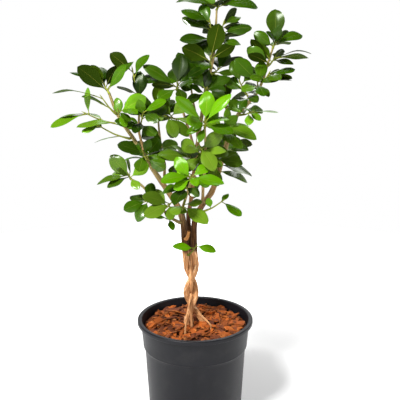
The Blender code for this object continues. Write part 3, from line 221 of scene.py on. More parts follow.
# Shoots: name, parent, height in millimetres where the twig leaves it, where the twig ends, and its leaves.
# A leaf: place along the twig from 0 to 1, its tip seen from its foot, its width, and which way its upper
# side looks: up, down, left, right, front or back, a letter for each, repeated for weight.
SHOOTS = [
    ("shoot_front_tip", "branch_front", 488, (15, -66, 497), [
        (1.0, (4, 6, 44), 25, "f"), (0.8, (-42, -4, 36), 20, "fu"), (0.7, (38, -4, 40), 20, "fu"),
        (0.3, (-18, 14, 8), 23, "f"), (0.5, (34, -6, 9), 18, "uuf"), (0.2, (35, -12, -6), 24, "uf"),
        (0.9, (-18, -10, -10), 12, "uf"), (0.1, (-8, -16, -22), 12, "uf"), (0.4, (-26, -12, -8), 16, "uf"),
        (0.3, (14, 18, 18), 21, "f"),
    ]),
    ("shoot_front_low_tip", "branch_front_low", 412, (-5, -75, 419), [
        (1.0, (-43, -10, -5), 22, "uf"), (1.0, (47, -14, -8), 22, "uf"), (0.7, (-21, 6, 27), 21, "f"),
        (0.9, (27, 8, 16), 19, "uf"), (1.0, (8, -22, -8), 14, "uf"), (0.3, (-14, 16, 12), 20, "f"),
        (0.5, (-24, -14, -14), 16, "uf"), (0.2, (22, 12, -8), 18, "uf"),
    ]),
    ("shoot_right_face", "stem_right", 476, (43, -16, 487), [
        (0.9, (50, -12, -14), 27, "uf"), (0.8, (-14, -20, -12), 22, "uf"), (1.0, (14, -6, 12), 16, "f"),
        (1.0, (8, 4, 25), 17, "fr"), (0.6, (30, 16, 6), 24, "uf"), (0.7, (-22, 14, 14), 24, "f"),
        (0.5, (6, -26, -16), 18, "uf"), (0.2, (20, -14, -22), 20, "uf"), (0.9, (-24, -10, 8), 17, "uf"),
    ]),
    ("shoot_centre_matte", "branch_centre", 500, (-42, -32, 504), [
        (1.0, (12, -16, -27), 21, "fu"), (0.9, (33, -16, -23), 19, "uf"), (0.7, (46, -10, -13), 18, "uuf"),
        (0.8, (20, 4, 18), 23, "f"), (1.0, (-22, -18, -6), 18, "uf"), (0.6, (-18, 12, 20), 23, "f"),
        (0.5, (-34, 6, 2), 20, "uf"), (0.3, (-4, -20, -18), 18, "uf"), (0.2, (24, -14, 4), 17, "uf"),
        (0.4, (-10, 14, -24), 21, "f"),
    ]),
    ("shoot_middle_face", "branch_front", 442, (8, -56, 460), [
        (1.0, (14, -18, -20), 25, "uf"), (0.7, (38, 8, 0), 24, "uf"), (0.9, (-18, -18, -2), 17, "uf"),
        (0.8, (20, 8, 20), 22, "f"), (0.5, (-22, 12, 12), 23, "f"), (0.3, (24, -12, -12), 20, "uf"),
        (0.2, (-24, -10, -14), 19, "uf"), (0.6, (34, -8, 12), 19, "uf"),
    ]),
    ("shoot_right_low", "stem_right", 412, (34, -16, 438), [
        (1.0, (36, -14, -2), 23, "uf"), (0.7, (54, -10, -14), 28, "uuf"), (0.2, (48, -10, -12), 22, "uuf"),
        (0.6, (-2, -20, -24), 21, "uf"), (0.8, (26, 18, 10), 24, "uf"), (0.9, (-16, 14, 14), 22, "f"),
        (0.5, (8, 24, 16), 23, "f"), (0.3, (-20, 14, -8), 20, "f"), (0.9, (10, -22, 10), 17, "uf"),
    ]),
    ("shoot_middle_low", "stem_middle", 418, (-7, -24, 442), [
        (1.0, (-43, -12, 6), 29, "uf"), (0.9, (4, -24, -10), 23, "uuf"), (1.0, (-29, -8, 20), 15, "uuf"),
        (0.6, (-50, 8, 8), 20, "uuf"), (0.7, (26, 8, 8), 23, "f"), (0.4, (-22, 10, -12), 22, "uf"),
        (0.8, (14, -14, 18), 18, "uf"), (0.3, (-16, 18, 22), 23, "f"), (0.2, (26, -4, -18), 20, "uf"),
        (0.9, (-8, -24, 2), 17, "uf"),
    ]),
    ("shoot_trunk", "stem_left", 283, (2, -25, 303), [
        (0.8, (-34, -14, 6), 17, "uf"), (1.0, (31, -12, -3), 16, "uf"),
    ]),
    ("shoot_right_sprig", "stem_right", 354, (43, -12, 372), [
        (1.0, (30, -20, -19), 18, "uuf"), (0.3, (-4, -8, 16), 12, "f"), (0.9, (14, 10, 12), 10, "uf"),
    ]),
    ("shoot_low_front", "branch_front_low", 380, (-17, -50, 370), [
        (1.0, (33, -22, -19), 27, "uf"), (0.6, (20, -12, 6), 18, "uuf"), (0.8, (-16, -20, -6), 17, "uf"),
    ]),
    ("shoot_bowl", "branch_front_low", 400, (-13, -63, 403), [
        (0.8, (-10, -26, -13), 28, "uuf"), (1.0, (20, -16, -12), 15, "uf"), (0.5, (-30, -4, -4), 20, "uuf"),
        (0.9, (-6, 14, 18), 18, "f"),
    ]),
    ("shoot_low_left_near", "branch_left_low", 360, (-36, -40, 374), [
        (0.9, (-36, -8, 13), 25, "uf"), (1.0, (-32, -24, -9), 27, "uf"), (0.6, (26, -16, -4), 19, "uuf"),
        (0.5, (-20, 12, 16), 20, "f"), (0.8, (4, -20, -16), 17, "uf"),
    ]),
    ("shoot_low_left_far", "branch_left_low", 376, (-73, -34, 376), [
        (1.0, (-33, -16, -11), 22, "uf"), (0.8, (-10, -18, -17), 22, "uf"), (0.6, (-30, 14, 4), 20, "uf"),
        (0.5, (18, -18, -12), 18, "uf"), (0.9, (4, 12, 20), 18, "f"),
    ]),
    ("shoot_low_left_small", "branch_left_low", 346, (-42, -24, 346), [
        (1.0, (-26, -12, 9), 15, "uuf"), (0.6, (6, -14, -12), 12, "uf"),
    ]),
    ("shoot_left_low_tip", "branch_left_low", 408, (-101, -25, 415), [
        (0.3, (-21, 4, 24), 26, "f"), (1.0, (-47, -14, -8), 18, "uuf"), (0.6, (-32, -18, -12), 17, "uuf"),
        (0.0, (16, -16, -14), 15, "uf"), (0.8, (-32, 18, 8), 20, "uf"), (0.4, (24, -4, 18), 20, "f"),
        (0.7, (-4, 20, 20), 20, "ub"), (0.8, (-14, -16, 12), 15, "uf"),
    ]),
    ("shoot_left_inner", "stem_left", 438, (-77, -34, 450), [
        (1.0, (-35, -12, 14), 23, "uf"), (0.8, (-4, -22, -18), 21, "uf"), (0.7, (32, -14, -10), 19, "uuf"),
        (0.1, (-38, 8, 2), 17, "u"), (0.9, (10, -8, 20), 14, "f"), (0.5, (16, 16, 20), 23, "f"),
        (0.4, (30, 8, 4), 20, "uf"), (0.3, (-20, 14, 20), 22, "f"), (0.6, (4, -22, 4), 15, "uf"),
        (0.2, (20, 16, -16), 21, "f"),
    ]),
    ("shoot_left_face", "stem_left", 500, (-112, -40, 512), [
        (0.8, (34, 4, 20), 26, "f"), (1.0, (31, -20, -3), 18, "uuf"), (0.6, (12, -14, -16), 13, "uf"),
        (0.9, (20, -16, -14), 12, "uf"), (0.2, (-14, 14, 18), 20, "f"), (0.4, (16, 16, -14), 20, "f"),
    ]),
    ("shoot_left_middle", "branch_left_high", 486, (-76, -36, 510), [
        (0.2, (-29, -12, 14), 22, "uf"), (1.0, (36, -8, 17), 21, "uf"), (0.9, (20, -16, -10), 19, "uf"),
        (0.6, (34, 10, 20), 25, "f"), (0.7, (-18, 12, 16), 22, "f"), (0.3, (22, -16, -16), 19, "uf"),
        (0.5, (-6, -24, -14), 18, "uf"), (0.4, (4, 18, 28), 23, "f"), (0.9, (-4, -22, 16), 16, "f"),
        (0.2, (10, 14, -26), 21, "f"),
    ]),
    ("shoot_left_crown", "branch_left_high", 522, (-93, -12, 571), [
        (0.1, (2, 8, 28), 27, "f"), (0.4, (1, 14, 26), 22, "f"), (0.8, (20, 8, 37), 20, "fl"),
        (1.0, (-35, 12, 29), 24, "bbu"), (0.6, (30, 16, 14), 23, "uf"), (0.3, (-32, 16, 10), 22, "uub"),
        (0.2, (22, 8, -14), 20, "uf"), (0.3, (-8, -16, -18), 18, "uf"),
    ]),
    ("shoot_left_long", "stem_left", 508, (-135, -38, 530), [
        (1.0, (-71, -8, 12), 23, "u"), (0.4, (-42, 10, 21), 20, "uub"),
    ]),
    ("shoot_left_outer", "stem_left", 494, (-162, -30, 508), [
        (0.15, (-56, -16, -1), 25, "uuf"), (1.0, (-50, -20, -20), 21, "uuf"), (1.0, (-40, -8, -6), 19, "u"),
        (0.9, (4, 5, 40), 18, "lf"), (0.5, (-26, 16, 12), 17, "u"),
    ]),
    ("shoot_left_under", "stem_left", 472, (-144, -34, 491), [
        (1.0, (-22, -14, -9), 16, "uuf"), (0.3, (-38, -12, -3), 19, "u"), (0.8, (-18, 12, 6), 14, "uf"),
    ]),
    ("shoot_left_tip", "stem_left", 536, (-140, -10, 557), [
        (0.1, (-44, 6, 38), 31, "bbu"), (0.2, (31, -14, 37), 23, "fl"), (0.3, (38, 8, 44), 23, "fl"),
        (1.0, (-57, 6, 13), 22, "uuf"), (0.9, (14, 34, 14), 21, "u"), (0.6, (-16, 28, 24), 22, "u"),
        (0.8, (-30, 22, 10), 23, "ub"), (0.5, (8, 20, 30), 22, "ub"), (0.7, (-20, -8, 24), 19, "ub"),
    ]),
    ("shoot_centre_up", "branch_centre", 542, (-26, -8, 551), [
        (1.0, (4, 8, 31), 28, "f"), (0.4, (-50, -6, 34), 22, "fu"), (0.8, (21, 12, 24), 26, "f"),
        (0.7, (18, -20, 6), 19, "uf"), (0.3, (31, -10, 12), 15, "uuf"), (0.5, (-38, 8, 14), 20, "ub"),
        (0.2, (-24, -18, -12), 21, "uf"), (0.6, (10, -18, -22), 18, "uf"), (0.9, (-8, 22, 24), 23, "f"),
    ]),
    ("shoot_middle_right", "stem_middle", 534, (18, -10, 544), [
        (0.8, (36, -2, 21), 21, "uf"), (0.7, (-26, -14, -18), 16, "uuf"), (1.0, (26, -22, -2), 20, "uf"),
        (0.9, (-24, 6, 18), 23, "f"), (0.5, (14, 18, 24), 23, "f"), (0.4, (-20, -16, 10), 17, "uf"),
        (0.7, (-14, 22, 28), 24, "f"), (0.2, (28, 8, -18), 20, "uf"), (0.3, (-26, 10, -10), 19, "uf"),
    ]),
    ("shoot_right_glossy", "stem_right", 528, (69, -6, 553), [
        (1.0, (-9, 8, 29), 22, "f"), (0.6, (-34, -10, 11), 20, "uf"), (0.42, (28, -8, 6), 18, "uuf"),
        (0.1, (-16, -16, -14), 17, "uf"), (0.9, (18, 12, 22), 22, "f"), (0.74, (-22, 12, 14), 21, "f"),
        (0.3, (12, -22, -8), 17, "uf"), (0.85, (25, 15, -2), 19, "uf"),
    ]),
    ("shoot_right_inner", "stem_right", 544, (95, -6, 556), [
        (1.0, (-29, 4, 26), 27, "f"), (0.7, (5, -20, -12), 21, "uf"), (0.9, (26, -14, 4), 19, "uf"),
        (0.8, (12, 14, 22), 21, "f"), (0.4, (-24, -16, -6), 18, "uf"), (0.3, (14, -22, -16), 17, "uf"),
    ]),
    ("shoot_right_wide", "stem_right", 506, (86, -2, 509), [
        (1.0, (42, -10, 3), 19, "u"), (0.8, (0, -18, -16), 15, "uf"), (0.9, (16, -14, -10), 13, "uf"),
        (0.5, (-18, 12, 16), 20, "f"), (0.6, (24, 16, 8), 20, "uf"), (0.3, (10, 24, 8), 21, "ub"),
        (0.9, (-6, -22, 6), 16, "uf"),
    ]),
    ("shoot_right_low_tip", "stem_right", 556, (112, -8, 567), [
        (1.0, (38, -8, 8), 20, "uuf"), (0.3, (42, 4, -2), 18, "u"), (0.7, (40, 12, 0), 20, "uub"),
        (0.9, (10, -24, -6), 19, "uf"), (0.5, (-20, -14, -8), 17, "uf"), (0.4, (20, 20, 14), 20, "ub"),
    ]),
    ("shoot_right_mid", "stem_right", 580, (120, -4, 589), [
        (0.9, (56, 4, 15), 19, "u"), (1.0, (50, -10, 5), 18, "uub"), (0.8, (26, -18, -6), 19, "uf"),
        (0.2, (-28, 2, 21), 24, "f"), (0.3, (-38, -8, 17), 18, "ub"), (0.1, (-40, 10, 24), 18, "ub"),
        (1.0, (4, -24, 8), 17, "uf"), (0.5, (20, 18, 18), 20, "ub"), (0.6, (-8, 22, 14), 20, "ub"),
    ]),
    ("shoot_right_tip", "stem_right", 605, (122, 9, 612), [
        (1.0, (1, 6, 38), 30, "f"), (0.9, (44, 8, 17), 20, "uf"), (0.3, (-25, 4, 20), 21, "f"),
        (0.8, (-10, -12, 14), 15, "uf"), (0.7, (16, -22, 1), 19, "uu"), (0.6, (24, 16, 22), 21, "ub"),
        (0.5, (-20, 18, 12), 21, "ub"), (0.4, (8, 26, 12), 21, "ub"), (0.9, (-4, -14, 26), 15, "f"),
    ]),
    ("shoot_upper_left", "stem_middle", 576, (24, -8, 589), [
        (1.0, (4, 4, 43), 29, "b"), (0.7, (-40, 2, 20), 27, "bbu"), (0.9, (38, 4, 23), 22, "bbu"),
        (0.4, (-26, 10, -12), 24, "f"), (0.5, (-32, 12, 6), 20, "uub"), (0.2, (-10, -4, -28), 20, "f"),
        (0.9, (-20, 18, 32), 25, "f"), (0.6, (-12, -22, -10), 17, "uf"), (0.3, (-34, -8, -22), 20, "uf"),
        (0.8, (-6, 26, 34), 24, "ub"),
    ]),
    ("shoot_upper_right", "stem_middle", 568, (36, 10, 574), [
        (1.0, (38, 6, 20), 19, "uub"), (0.7, (-12, 24, 14), 22, "ub"), (0.9, (20, 20, 26), 24, "f"),
        (0.5, (30, -14, -2), 18, "uf"), (1.0, (4, 26, 30), 24, "f"), (0.2, (34, 4, -22), 20, "uf"),
        (0.7, (-20, 24, -4), 22, "f"),
    ]),
    ("shoot_top_left", "stem_middle", 614, (23, -8, 641), [
        (1.0, (-36, -8, 17), 26, "uf"), (0.6, (-44, 2, 19), 21, "uf"), (0.2, (-50, -6, -4), 24, "uf"),
        (0.8, (-16, 16, 16), 23, "f"), (0.7, (-22, 18, 26), 22, "ub"), (0.5, (-8, 26, 14), 22, "b"),
        (0.15, (-46, 10, -14), 19, "uf"), (0.9, (-14, 12, 30), 20, "f"),
    ]),
    ("shoot_top_right", "stem_middle", 610, (43, -2, 640), [
        (0.6, (46, -4, 11), 25, "uf"), (0.3, (42, 6, 15), 19, "uub"), (1.0, (26, 4, 14), 17, "uf"),
        (0.8, (26, 18, 6), 20, "ub"), (0.9, (18, 16, 24), 22, "ub"), (0.4, (10, 26, 8), 22, "b"),
        (0.2, (34, -12, -10), 19, "uf"),
    ]),
    ("shoot_top", "stem_middle", 660, (36, 3, 666), [
        (0.8, (60, 4, 5), 24, "uf"), (0.7, (-62, -4, 12), 22, "uf"), (1.0, (15, 8, 33), 22, "f"),
        (1.0, (-5, 10, 37), 18, "r"), (0.9, (-28, 10, 26), 23, "f"), (0.9, (6, -8, 26), 14, "l"),
        (0.4, (2, -20, 6), 14, "uf"), (0.6, (30, 16, 20), 20, "ub"), (0.5, (-20, 22, 12), 20, "ub"),
    ]),
    ("shoot_back_left_tip", "branch_back_left", 504, (-64, 66, 513), [
        (1.0, (-32, 26, 22), 25, "ub"), (0.8, (-44, 4, 8), 24, "uf"), (1.0, (28, 30, 14), 24, "ub"),
        (0.7, (2, 46, -4), 25, "ub"), (1.0, (4, 12, 42), 24, "b"), (0.5, (34, -8, 10), 24, "uf"),
        (0.6, (-12, -28, 6), 22, "uf"), (0.9, (22, -30, 28), 25, "f"), (0.4, (-10, -34, 22), 23, "f"),
    ]),
    ("shoot_back_left_low", "branch_back_left", 442, (-68, 60, 448), [
        (1.0, (-40, 18, 6), 25, "ub"), (0.7, (-10, 44, -8), 25, "ub"), (0.9, (30, 32, 8), 23, "ub"),
        (0.8, (-30, -20, 0), 22, "uf"), (1.0, (-6, 12, 36), 22, "b"), (0.9, (26, -28, 14), 25, "f"),
        (0.5, (2, -36, 12), 23, "f"), (0.3, (-24, -14, -18), 21, "uf"), (0.8, (14, -20, 32), 23, "f"),
    ]),
    ("shoot_back_right_tip", "branch_back_right", 514, (54, 76, 523), [
        (1.0, (36, 26, 16), 25, "ub"), (0.8, (46, 0, 6), 24, "uf"), (1.0, (-24, 34, 18), 24, "ub"),
        (0.7, (8, 48, -6), 25, "ub"), (1.0, (-4, 12, 42), 24, "b"), (0.5, (-36, -6, 12), 24, "uf"),
        (0.6, (14, -28, 6), 22, "uf"), (0.9, (-26, -32, 20), 25, "f"), (0.4, (12, -36, 18), 23, "f"),
    ]),
    ("shoot_back_right_low", "branch_back_right", 446, (56, 66, 451), [
        (1.0, (42, 16, 4), 25, "ub"), (0.7, (16, 44, -8), 25, "ub"), (0.9, (-26, 36, 6), 23, "ub"),
        (0.8, (32, -20, 0), 22, "uf"), (1.0, (8, 12, 36), 22, "b"), (0.9, (-26, -30, 8), 25, "f"),
        (0.5, (4, -34, 26), 23, "f"), (0.3, (24, -14, -18), 21, "uf"), (0.8, (-14, -20, 30), 23, "f"),
    ]),
    ("shoot_back_tip", "branch_back", 560, (-9, 70, 570), [
        (1.0, (-30, 24, 20), 24, "ub"), (0.8, (30, 28, 14), 24, "ub"), (1.0, (0, 12, 42), 24, "b"),
        (0.6, (-40, 4, -4), 24, "uf"), (0.7, (4, 48, -2), 24, "ub"), (0.5, (36, -8, 4), 24, "uf"),
        (0.9, (-16, -28, 30), 26, "f"), (0.8, (20, -28, 24), 25, "f"), (0.3, (-6, -34, -18), 24, "f"),
        (0.4, (26, -26, 2), 22, "f"), (0.5, (-26, -24, 6), 22, "f"),
    ]),
    ("shoot_back_low", "stem_middle", 404, (-4, 50, 414), [
        (1.0, (-32, 30, 4), 25, "ub"), (0.9, (32, 30, -2), 25, "ub"), (1.0, (2, 44, 10), 24, "ub"),
        (0.5, (-40, 8, 8), 24, "uf"), (0.6, (40, 2, 4), 24, "uf"), (0.7, (4, 20, -28), 22, "b"),
        (0.9, (-18, -10, 36), 24, "f"), (0.8, (22, -12, 32), 24, "f"), (0.3, (-22, -8, -16), 20, "f"),
        (0.2, (0, -14, -22), 20, "f"), (0.8, (-2, -16, 34), 24, "f"),
    ]),
]

# Aerial roots: name, the stem each one leaves, the height there, and where it enters the mulch.
ROOTS = [
    ("aerial_root_front", "stem_middle", 206, (-15.5, -44)),
    ("aerial_root_right", "stem_right", 177, (26, -19)),
    ("aerial_root_back", "stem_right", 188, (2, 30)),
]

FACES = {
    "u": Vector((0, 0, 1)), "d": Vector((0, 0, -1)), "l": Vector((-1, 0, 0)),
    "r": Vector((1, 0, 0)), "f": Vector((0, -1, 0)), "b": Vector((0, 1, 0)),
}

# ---- Routes ----

def smooth(points, step):
    """Reads a smooth curve through the points about every step. A point is (x, y, z, radius) in metres."""
    ends = [2 * points[0] - points[1], *points, 2 * points[-1] - points[-2]]
    curve = [points[0]]
    for a, b, c, d in zip(ends, ends[1:], ends[2:], ends[3:]):
        count = max(1, round((c - b).xyz.length / step))
        for i in range(1, count + 1):
            t = i / count
            curve.append(
                0.5 * (2 * b + (c - a) * t + (2 * a - 5 * b + 4 * c - d) * t**2
                       + (3 * b - a - 3 * c + d) * t**3)
            )
    return curve


def at_height(route, z):
    """The point of a rising route at height z, with its radius, and the route's direction there."""
    for a, b in zip(route, route[1:]):
        if z <= b.z:
            break
    share = min(1.0, max(0.0, (z - a.z) / (b.z - a.z)))
    return a.lerp(b, share), (b - a).xyz.normalized()


def leave(parent, z, towards, radius):
    """Where a twig or branch that leaves its parent at height z starts, clear of the parent's bark."""
    point, along = at_height(parent, z)
    way = (towards - point.xyz).normalized()
    cosine = way.dot(along)
    sine = math.sqrt(max(0.0, 1 - cosine * cosine))
    if z >= parent[-1].z - 0.5 * MM:
        start = point.xyz + along * (JOINT_GAP + radius * sine)
    else:
        outward = (way - along * cosine).normalized()
        start = point.xyz + outward * (point.w + JOINT_GAP + radius * abs(cosine))
    return Vector((*start, radius))


def braid_point(strand, z, radius):
    """A point of the braid: strand is -1 for the left stem, 1 for the right one and 0 for the middle one."""
    turn = math.pi * (z - BRAID_CROSSING) / BRAID_HALF_TURN
    if strand == 0:
        forward = MIDDLE_SET_FORWARD + MIDDLE_SWING * abs(math.cos(turn))
        return Vector((BRAID_X, BRAID_Y - forward, z, radius))
    return Vector((
        BRAID_X + strand * BRAID_REACH * math.sin(turn),
        BRAID_Y - strand * BRAID_DEPTH * math.cos(turn),
        z,
        radius,
    ))


def stem_route(strand, foot, radius, branch):
    """A stem from its foot in the soil, through the braid and along its branch."""
    x, y = foot
    points = [
        Vector((x, y, MULCH_TOP - FOOT_DEPTH, radius)),
        Vector((x, y, MULCH_TOP + 2 * MULCH_RELIEF, radius)),
    ]
    levels = round((BRAID_END - BRAID_START) / BRAID_LEVEL)
    for i in range(levels + 1):
        z = BRAID_START + (BRAID_END - BRAID_START) * i / levels
        points.append(braid_point(strand, z, radius))
    points += [Vector(p) * MM for p in branch]
    return [points[0]] + smooth(points[1:], STEM_STEP)


def root_route(parent, z, foot):
    """An aerial root: it arches out of its stem and down into the mulch."""
    x, y = (value * MM for value in foot)
    entry = Vector((x, y, MULCH_TOP + 2 * MULCH_RELIEF, ROOT_RADIUS))
    start = leave(parent, z, entry.xyz, ROOT_RADIUS)
    knee = start.lerp(entry, 0.55)
    knee.x += 0.12 * (x - start.x)
    knee.y += 0.12 * (y - start.y)
    down = entry.copy()
    down.z = MULCH_TOP - 5 * MULCH_RELIEF
    return smooth([start, knee, entry], ROOT_STEP) + [down]


def plan_wood():
    """Every route of the plant's wood by name, and each shoot's twig."""
    wood = {
        "stem_left": stem_route(-1, (-0.0135, 0.0005), OUTER_STEM_RADIUS, LEFT_ROUTE),
        "stem_middle": stem_route(0, (-0.0055, -0.0095), MIDDLE_STEM_RADIUS, MIDDLE_ROUTE),
        "stem_right": stem_route(1, (0.0125, 0.003), OUTER_STEM_RADIUS, RIGHT_ROUTE),
    }
    for name, parent, height, route in BRANCHES:
        points = [Vector(p) * MM for p in route]
        start = leave(wood[parent], height * MM, points[0].xyz, points[0].w)
        wood[name] = smooth([start, *points], BRANCH_STEP)
    for name, parent, height, foot in ROOTS:
        wood[name] = root_route(wood[parent], height * MM, foot)
    twigs = {}
    for name, parent, height, end, _ in SHOOTS:
        tip = Vector((*(value * MM for value in end), TWIG_TIP_RADIUS))
        start = leave(wood[parent], height * MM, tip.xyz, TWIG_RADIUS)
        bend = start.lerp(tip, 0.5)
        bend.z -= TWIG_SAG * (tip - start).xyz.length
        twigs[name] = smooth([start, bend, tip], TWIG_STEP)
    return wood, twigs


# ---- Leaves ----

def on_twig(twig, place):
    """The point of a twig at a share of its length, kept a little inside its ends."""
    position = min(0.95, max(0.08, place)) * (len(twig) - 1)
    first = min(int(position), len(twig) - 2)
    return twig[first].lerp(twig[first + 1], position - first).xyz


def half_width(share):
    """A leaf outline: half its width as a share of the widest, from 0 at the foot to 1 at the tip."""
    return math.sin(math.pi * share**1.2) ** (0.95 - 0.33 * share)


def leaf_rings(leaf, grow=0.0, blade_only=False):
    """Three-sided sections of a leaf, two edges and a keel, from foot to tip; grow thickens them."""
    along = leaf["reach"]
    length = along.length
    facing = leaf["facing"]
    normal = (facing - along * (facing.dot(along) / length**2)).normalized()
    across = along.cross(normal).normalized()
    stations = [] if blade_only else [(0.0, PETIOLE_WIDTH / 2)]
    stations.append((PETIOLE_SHARE, PETIOLE_WIDTH / 2))
    for share in BLADE_SECTIONS:
        half = leaf["width"] / 2 * half_width(share)
        stations.append((PETIOLE_SHARE + (1 - PETIOLE_SHARE) * share, half))
    stations.append((1.0, leaf["width"] * TIP_SHARE / 2))
    rings = []
    for t, half in stations:
        centre = leaf["foot"] + along * t + normal * (leaf["bow"] * length * 4 * t * (1 - t))
        top = normal * (LEAF_THICKNESS / 2 + grow + leaf["fold"] * max(0.0, half - PETIOLE_WIDTH / 2))
        keel = normal * (LEAF_THICKNESS / 2 + grow)
        side = across * (half + grow)
        rings.append([centre - side + top, centre + side + top, centre - keel])
    return rings


def tube_rings(route, grow=0.0):
    """Six-sided sections of a round tube along a route."""
    rings = []
    for i, point in enumerate(route):
        ahead = (route[min(i + 1, len(route) - 1)] - route[max(i - 1, 0)]).xyz.normalized()
        side = ahead.orthogonal() if i == 0 else side - ahead * side.dot(ahead)
        side.normalize()
        rings.append([
            point.xyz + Matrix.Rotation(math.pi / 3 * k, 3, ahead) @ side * (point.w + grow) for k in range(6)
        ])
    return rings


def loft(rings):
    """The points and faces of a closed skin over sections with the same number of corners."""
    size = len(rings[0])
    points = [corner for ring in rings for corner in ring]
    faces = [tuple(range(size)), tuple(range(len(points) - 1, len(points) - 1 - size, -1))]
    for i in range(len(rings) - 1):
        for k in range(size):
            low, high = i * size, (i + 1) * size
            faces.append((low + k, high + k, high + (k + 1) % size, low + (k + 1) % size))
    return points, faces


def tree_of(skins):
    """One search tree over several skins."""
    points, faces = [], []
    for skin_points, skin_faces in skins:
        faces += [tuple(len(points) + i for i in face) for face in skin_faces]
        points += skin_points
    return BVHTree.FromPolygons(points, faces)


def turned(reach, size, tries):
    """A leaf's reach, shortened to size and swung aside: each further try swings it a little more."""
    heading = math.atan2(reach.y, reach.x)
    rise = math.asin(reach.z / reach.length)
    swing = math.radians(SWERVE_DEG) * math.sqrt(tries)
    heading += swing * math.cos(GOLDEN_ANGLE * tries) / max(0.3, math.cos(rise))
    rise = max(-1.5, min(1.5, rise + swing * math.sin(GOLDEN_ANGLE * tries)))
    flat = math.cos(rise)
    return reach.length * size * Vector((flat * math.cos(heading), flat * math.sin(heading), math.sin(rise)))


def place_leaf(leaf, others, own):
    """Turns a leaf, and shortens it if it must be, until it is clear of everything placed before it."""
    wanted, width = leaf["reach"], leaf["width"]
    for size in LEAF_SIZES:
        leaf["width"] = width * size
        for tries in range(SWERVES):
            leaf["reach"] = turned(wanted, size, tries)
            whole = tree_of([loft(leaf_rings(leaf, LEAF_CLEARANCE))])
            if whole.overlap(others):
                continue
            blade = tree_of([loft(leaf_rings(leaf, LEAF_CLEARANCE, True))])
            if not blade.overlap(own):
                return
    raise ValueError("no room for a leaf")


def proportioned(reach, width):
    """Keeps a leaf from being stubby: it grows longer as far as it may, and is then made narrower."""
    reach = reach * min(LEAF_STRETCH, max(1.0, LEAF_SLENDER * width / reach.length))
    return reach, min(width, reach.length / LEAF_SLENDER)


def plan_leaves(wood, twigs):
    """Each shoot's leaves, each turned until it is clear of the wood and of the leaves placed before it."""
    bark = [loft(tube_rings(route, LEAF_CLEARANCE)) for route in wood.values()]
    placed = {}
    for name, _, _, _, rows in SHOOTS:
        twig_skins = [loft(tube_rings(twigs[n], LEAF_CLEARANCE)) for n in twigs if n != name]
        leaf_skins = [loft(leaf_rings(leaf)) for leaves in placed.values() for leaf in leaves]
        others = tree_of(bark + twig_skins + leaf_skins)
        own_skins = [loft(tube_rings(twigs[name]))]
        leaves = []
        for i, (place, reach, width, facing) in enumerate(rows):
            chance = random.Random(f"{name} {i}")
            reach, width = proportioned(Vector(reach) * MM, width * MM * LEAF_FULLNESS)
            leaf = {
                "foot": on_twig(twigs[name], place),
                "reach": reach * LEAF_SCALE,
                "width": width * LEAF_SCALE,
                "facing": sum((FACES[letter] for letter in facing), Vector()),
                "bow": chance.uniform(*BOW),
                "fold": chance.uniform(*FOLD),
            }
            place_leaf(leaf, others, tree_of(own_skins))
            own_skins.append(loft(leaf_rings(leaf, 0.0, True)))
            leaves.append(leaf)
        placed[name] = leaves
    return placed


# ---- Pot section ----

def arc(centre, radius, start_deg, end_deg, count):
    """Points on an arc, both ends included."""
    return [
        (centre[0] + radius * math.cos(math.radians(start_deg + (end_deg - start_deg) * i / count)),
         centre[1] + radius * math.sin(math.radians(start_deg + (end_deg - start_deg) * i / count)))
        for i in range(count + 1)
    ]


def inner_radius(z):
    """The radius of the pot's inner wall at height z."""
    if z >= COLLAR_FOOT:
        share = (z - COLLAR_FOOT) / COLLAR_HEIGHT
        return COLLAR_FOOT_RADIUS + COLLAR_DROP_IN * share - WALL
    if z >= COLLAR_FOOT - LEDGE:
        return WALL_TOP_RADIUS + COLLAR_STEP * (z - COLLAR_FOOT + LEDGE) / LEDGE - WALL
    return FOOT_RADIUS + (WALL_TOP_RADIUS - FOOT_RADIUS) * z / (COLLAR_FOOT - LEDGE) - WALL


# ---- Sizes and colours that a user would change ----

class PlantSizes(bpy.types.PropertyGroup):
    pot_steps: IntProperty(name="Pot steps", description="Flats round the pot", default=144, min=24)
    chips: IntProperty(name="Bark chips", description="Number of bark chips on the soil", default=400, min=0)
    chip_length: FloatProperty(
        name="Chip length", description="Length of a common bark chip", default=0.0175, subtype="DISTANCE",
        unit="LENGTH")
    leaf_thickness: FloatProperty(
        name="Leaf thickness", description="Thickness of a leaf's blade", default=0.0005, subtype="DISTANCE",
        unit="LENGTH")
    bark_relief: FloatProperty(
        name="Bark relief", description="Height of the ridges in the stems' bark", default=0.0008,
        subtype="DISTANCE", unit="LENGTH")


class PlantColours(bpy.types.PropertyGroup):
    deep_green: FloatVectorProperty(
        name="Deep green", description="Old leaves, upper side", default=(0.0058, 0.0225, 0.0003), subtype="COLOR")
    fresh_green: FloatVectorProperty(
        name="Fresh green", description="Young leaves, upper side", default=(0.115, 0.310, 0.0012),
        subtype="COLOR")
    # The lower side's own olive green, made darker as painted shade of the side turned from the light.
    underside: FloatVectorProperty(
        name="Underside", description="Leaves, lower side", default=(0.014, 0.027, 0.0002), subtype="COLOR")
    vein: FloatVectorProperty(
        name="Vein", description="Midribs and leaf stalks", default=(0.30, 0.36, 0.06), subtype="COLOR")
    pale_bark: FloatVectorProperty(
        name="Pale bark", description="Bark of the braid", default=(0.66, 0.335, 0.145), subtype="COLOR")
    # The colour of the painted shadow of the leaves on the upper stems, which takes the place of the pale bark
    # there.
    dark_bark: FloatVectorProperty(
        name="Dark bark", description="Bark of the upper stems", default=(0.135, 0.058, 0.019), subtype="COLOR")
    orange_chip: FloatVectorProperty(
        name="Orange chip", description="Fresh bark chips", default=(0.40, 0.098, 0.016), subtype="COLOR")
    brown_chip: FloatVectorProperty(
        name="Brown chip", description="Weathered bark chips", default=(0.11, 0.034, 0.018), subtype="COLOR")
    pot_black: FloatVectorProperty(
        name="Pot black", description="Plastic of the pot", default=(0.0048, 0.0050, 0.0070), subtype="COLOR")


# ---- Finishes ----

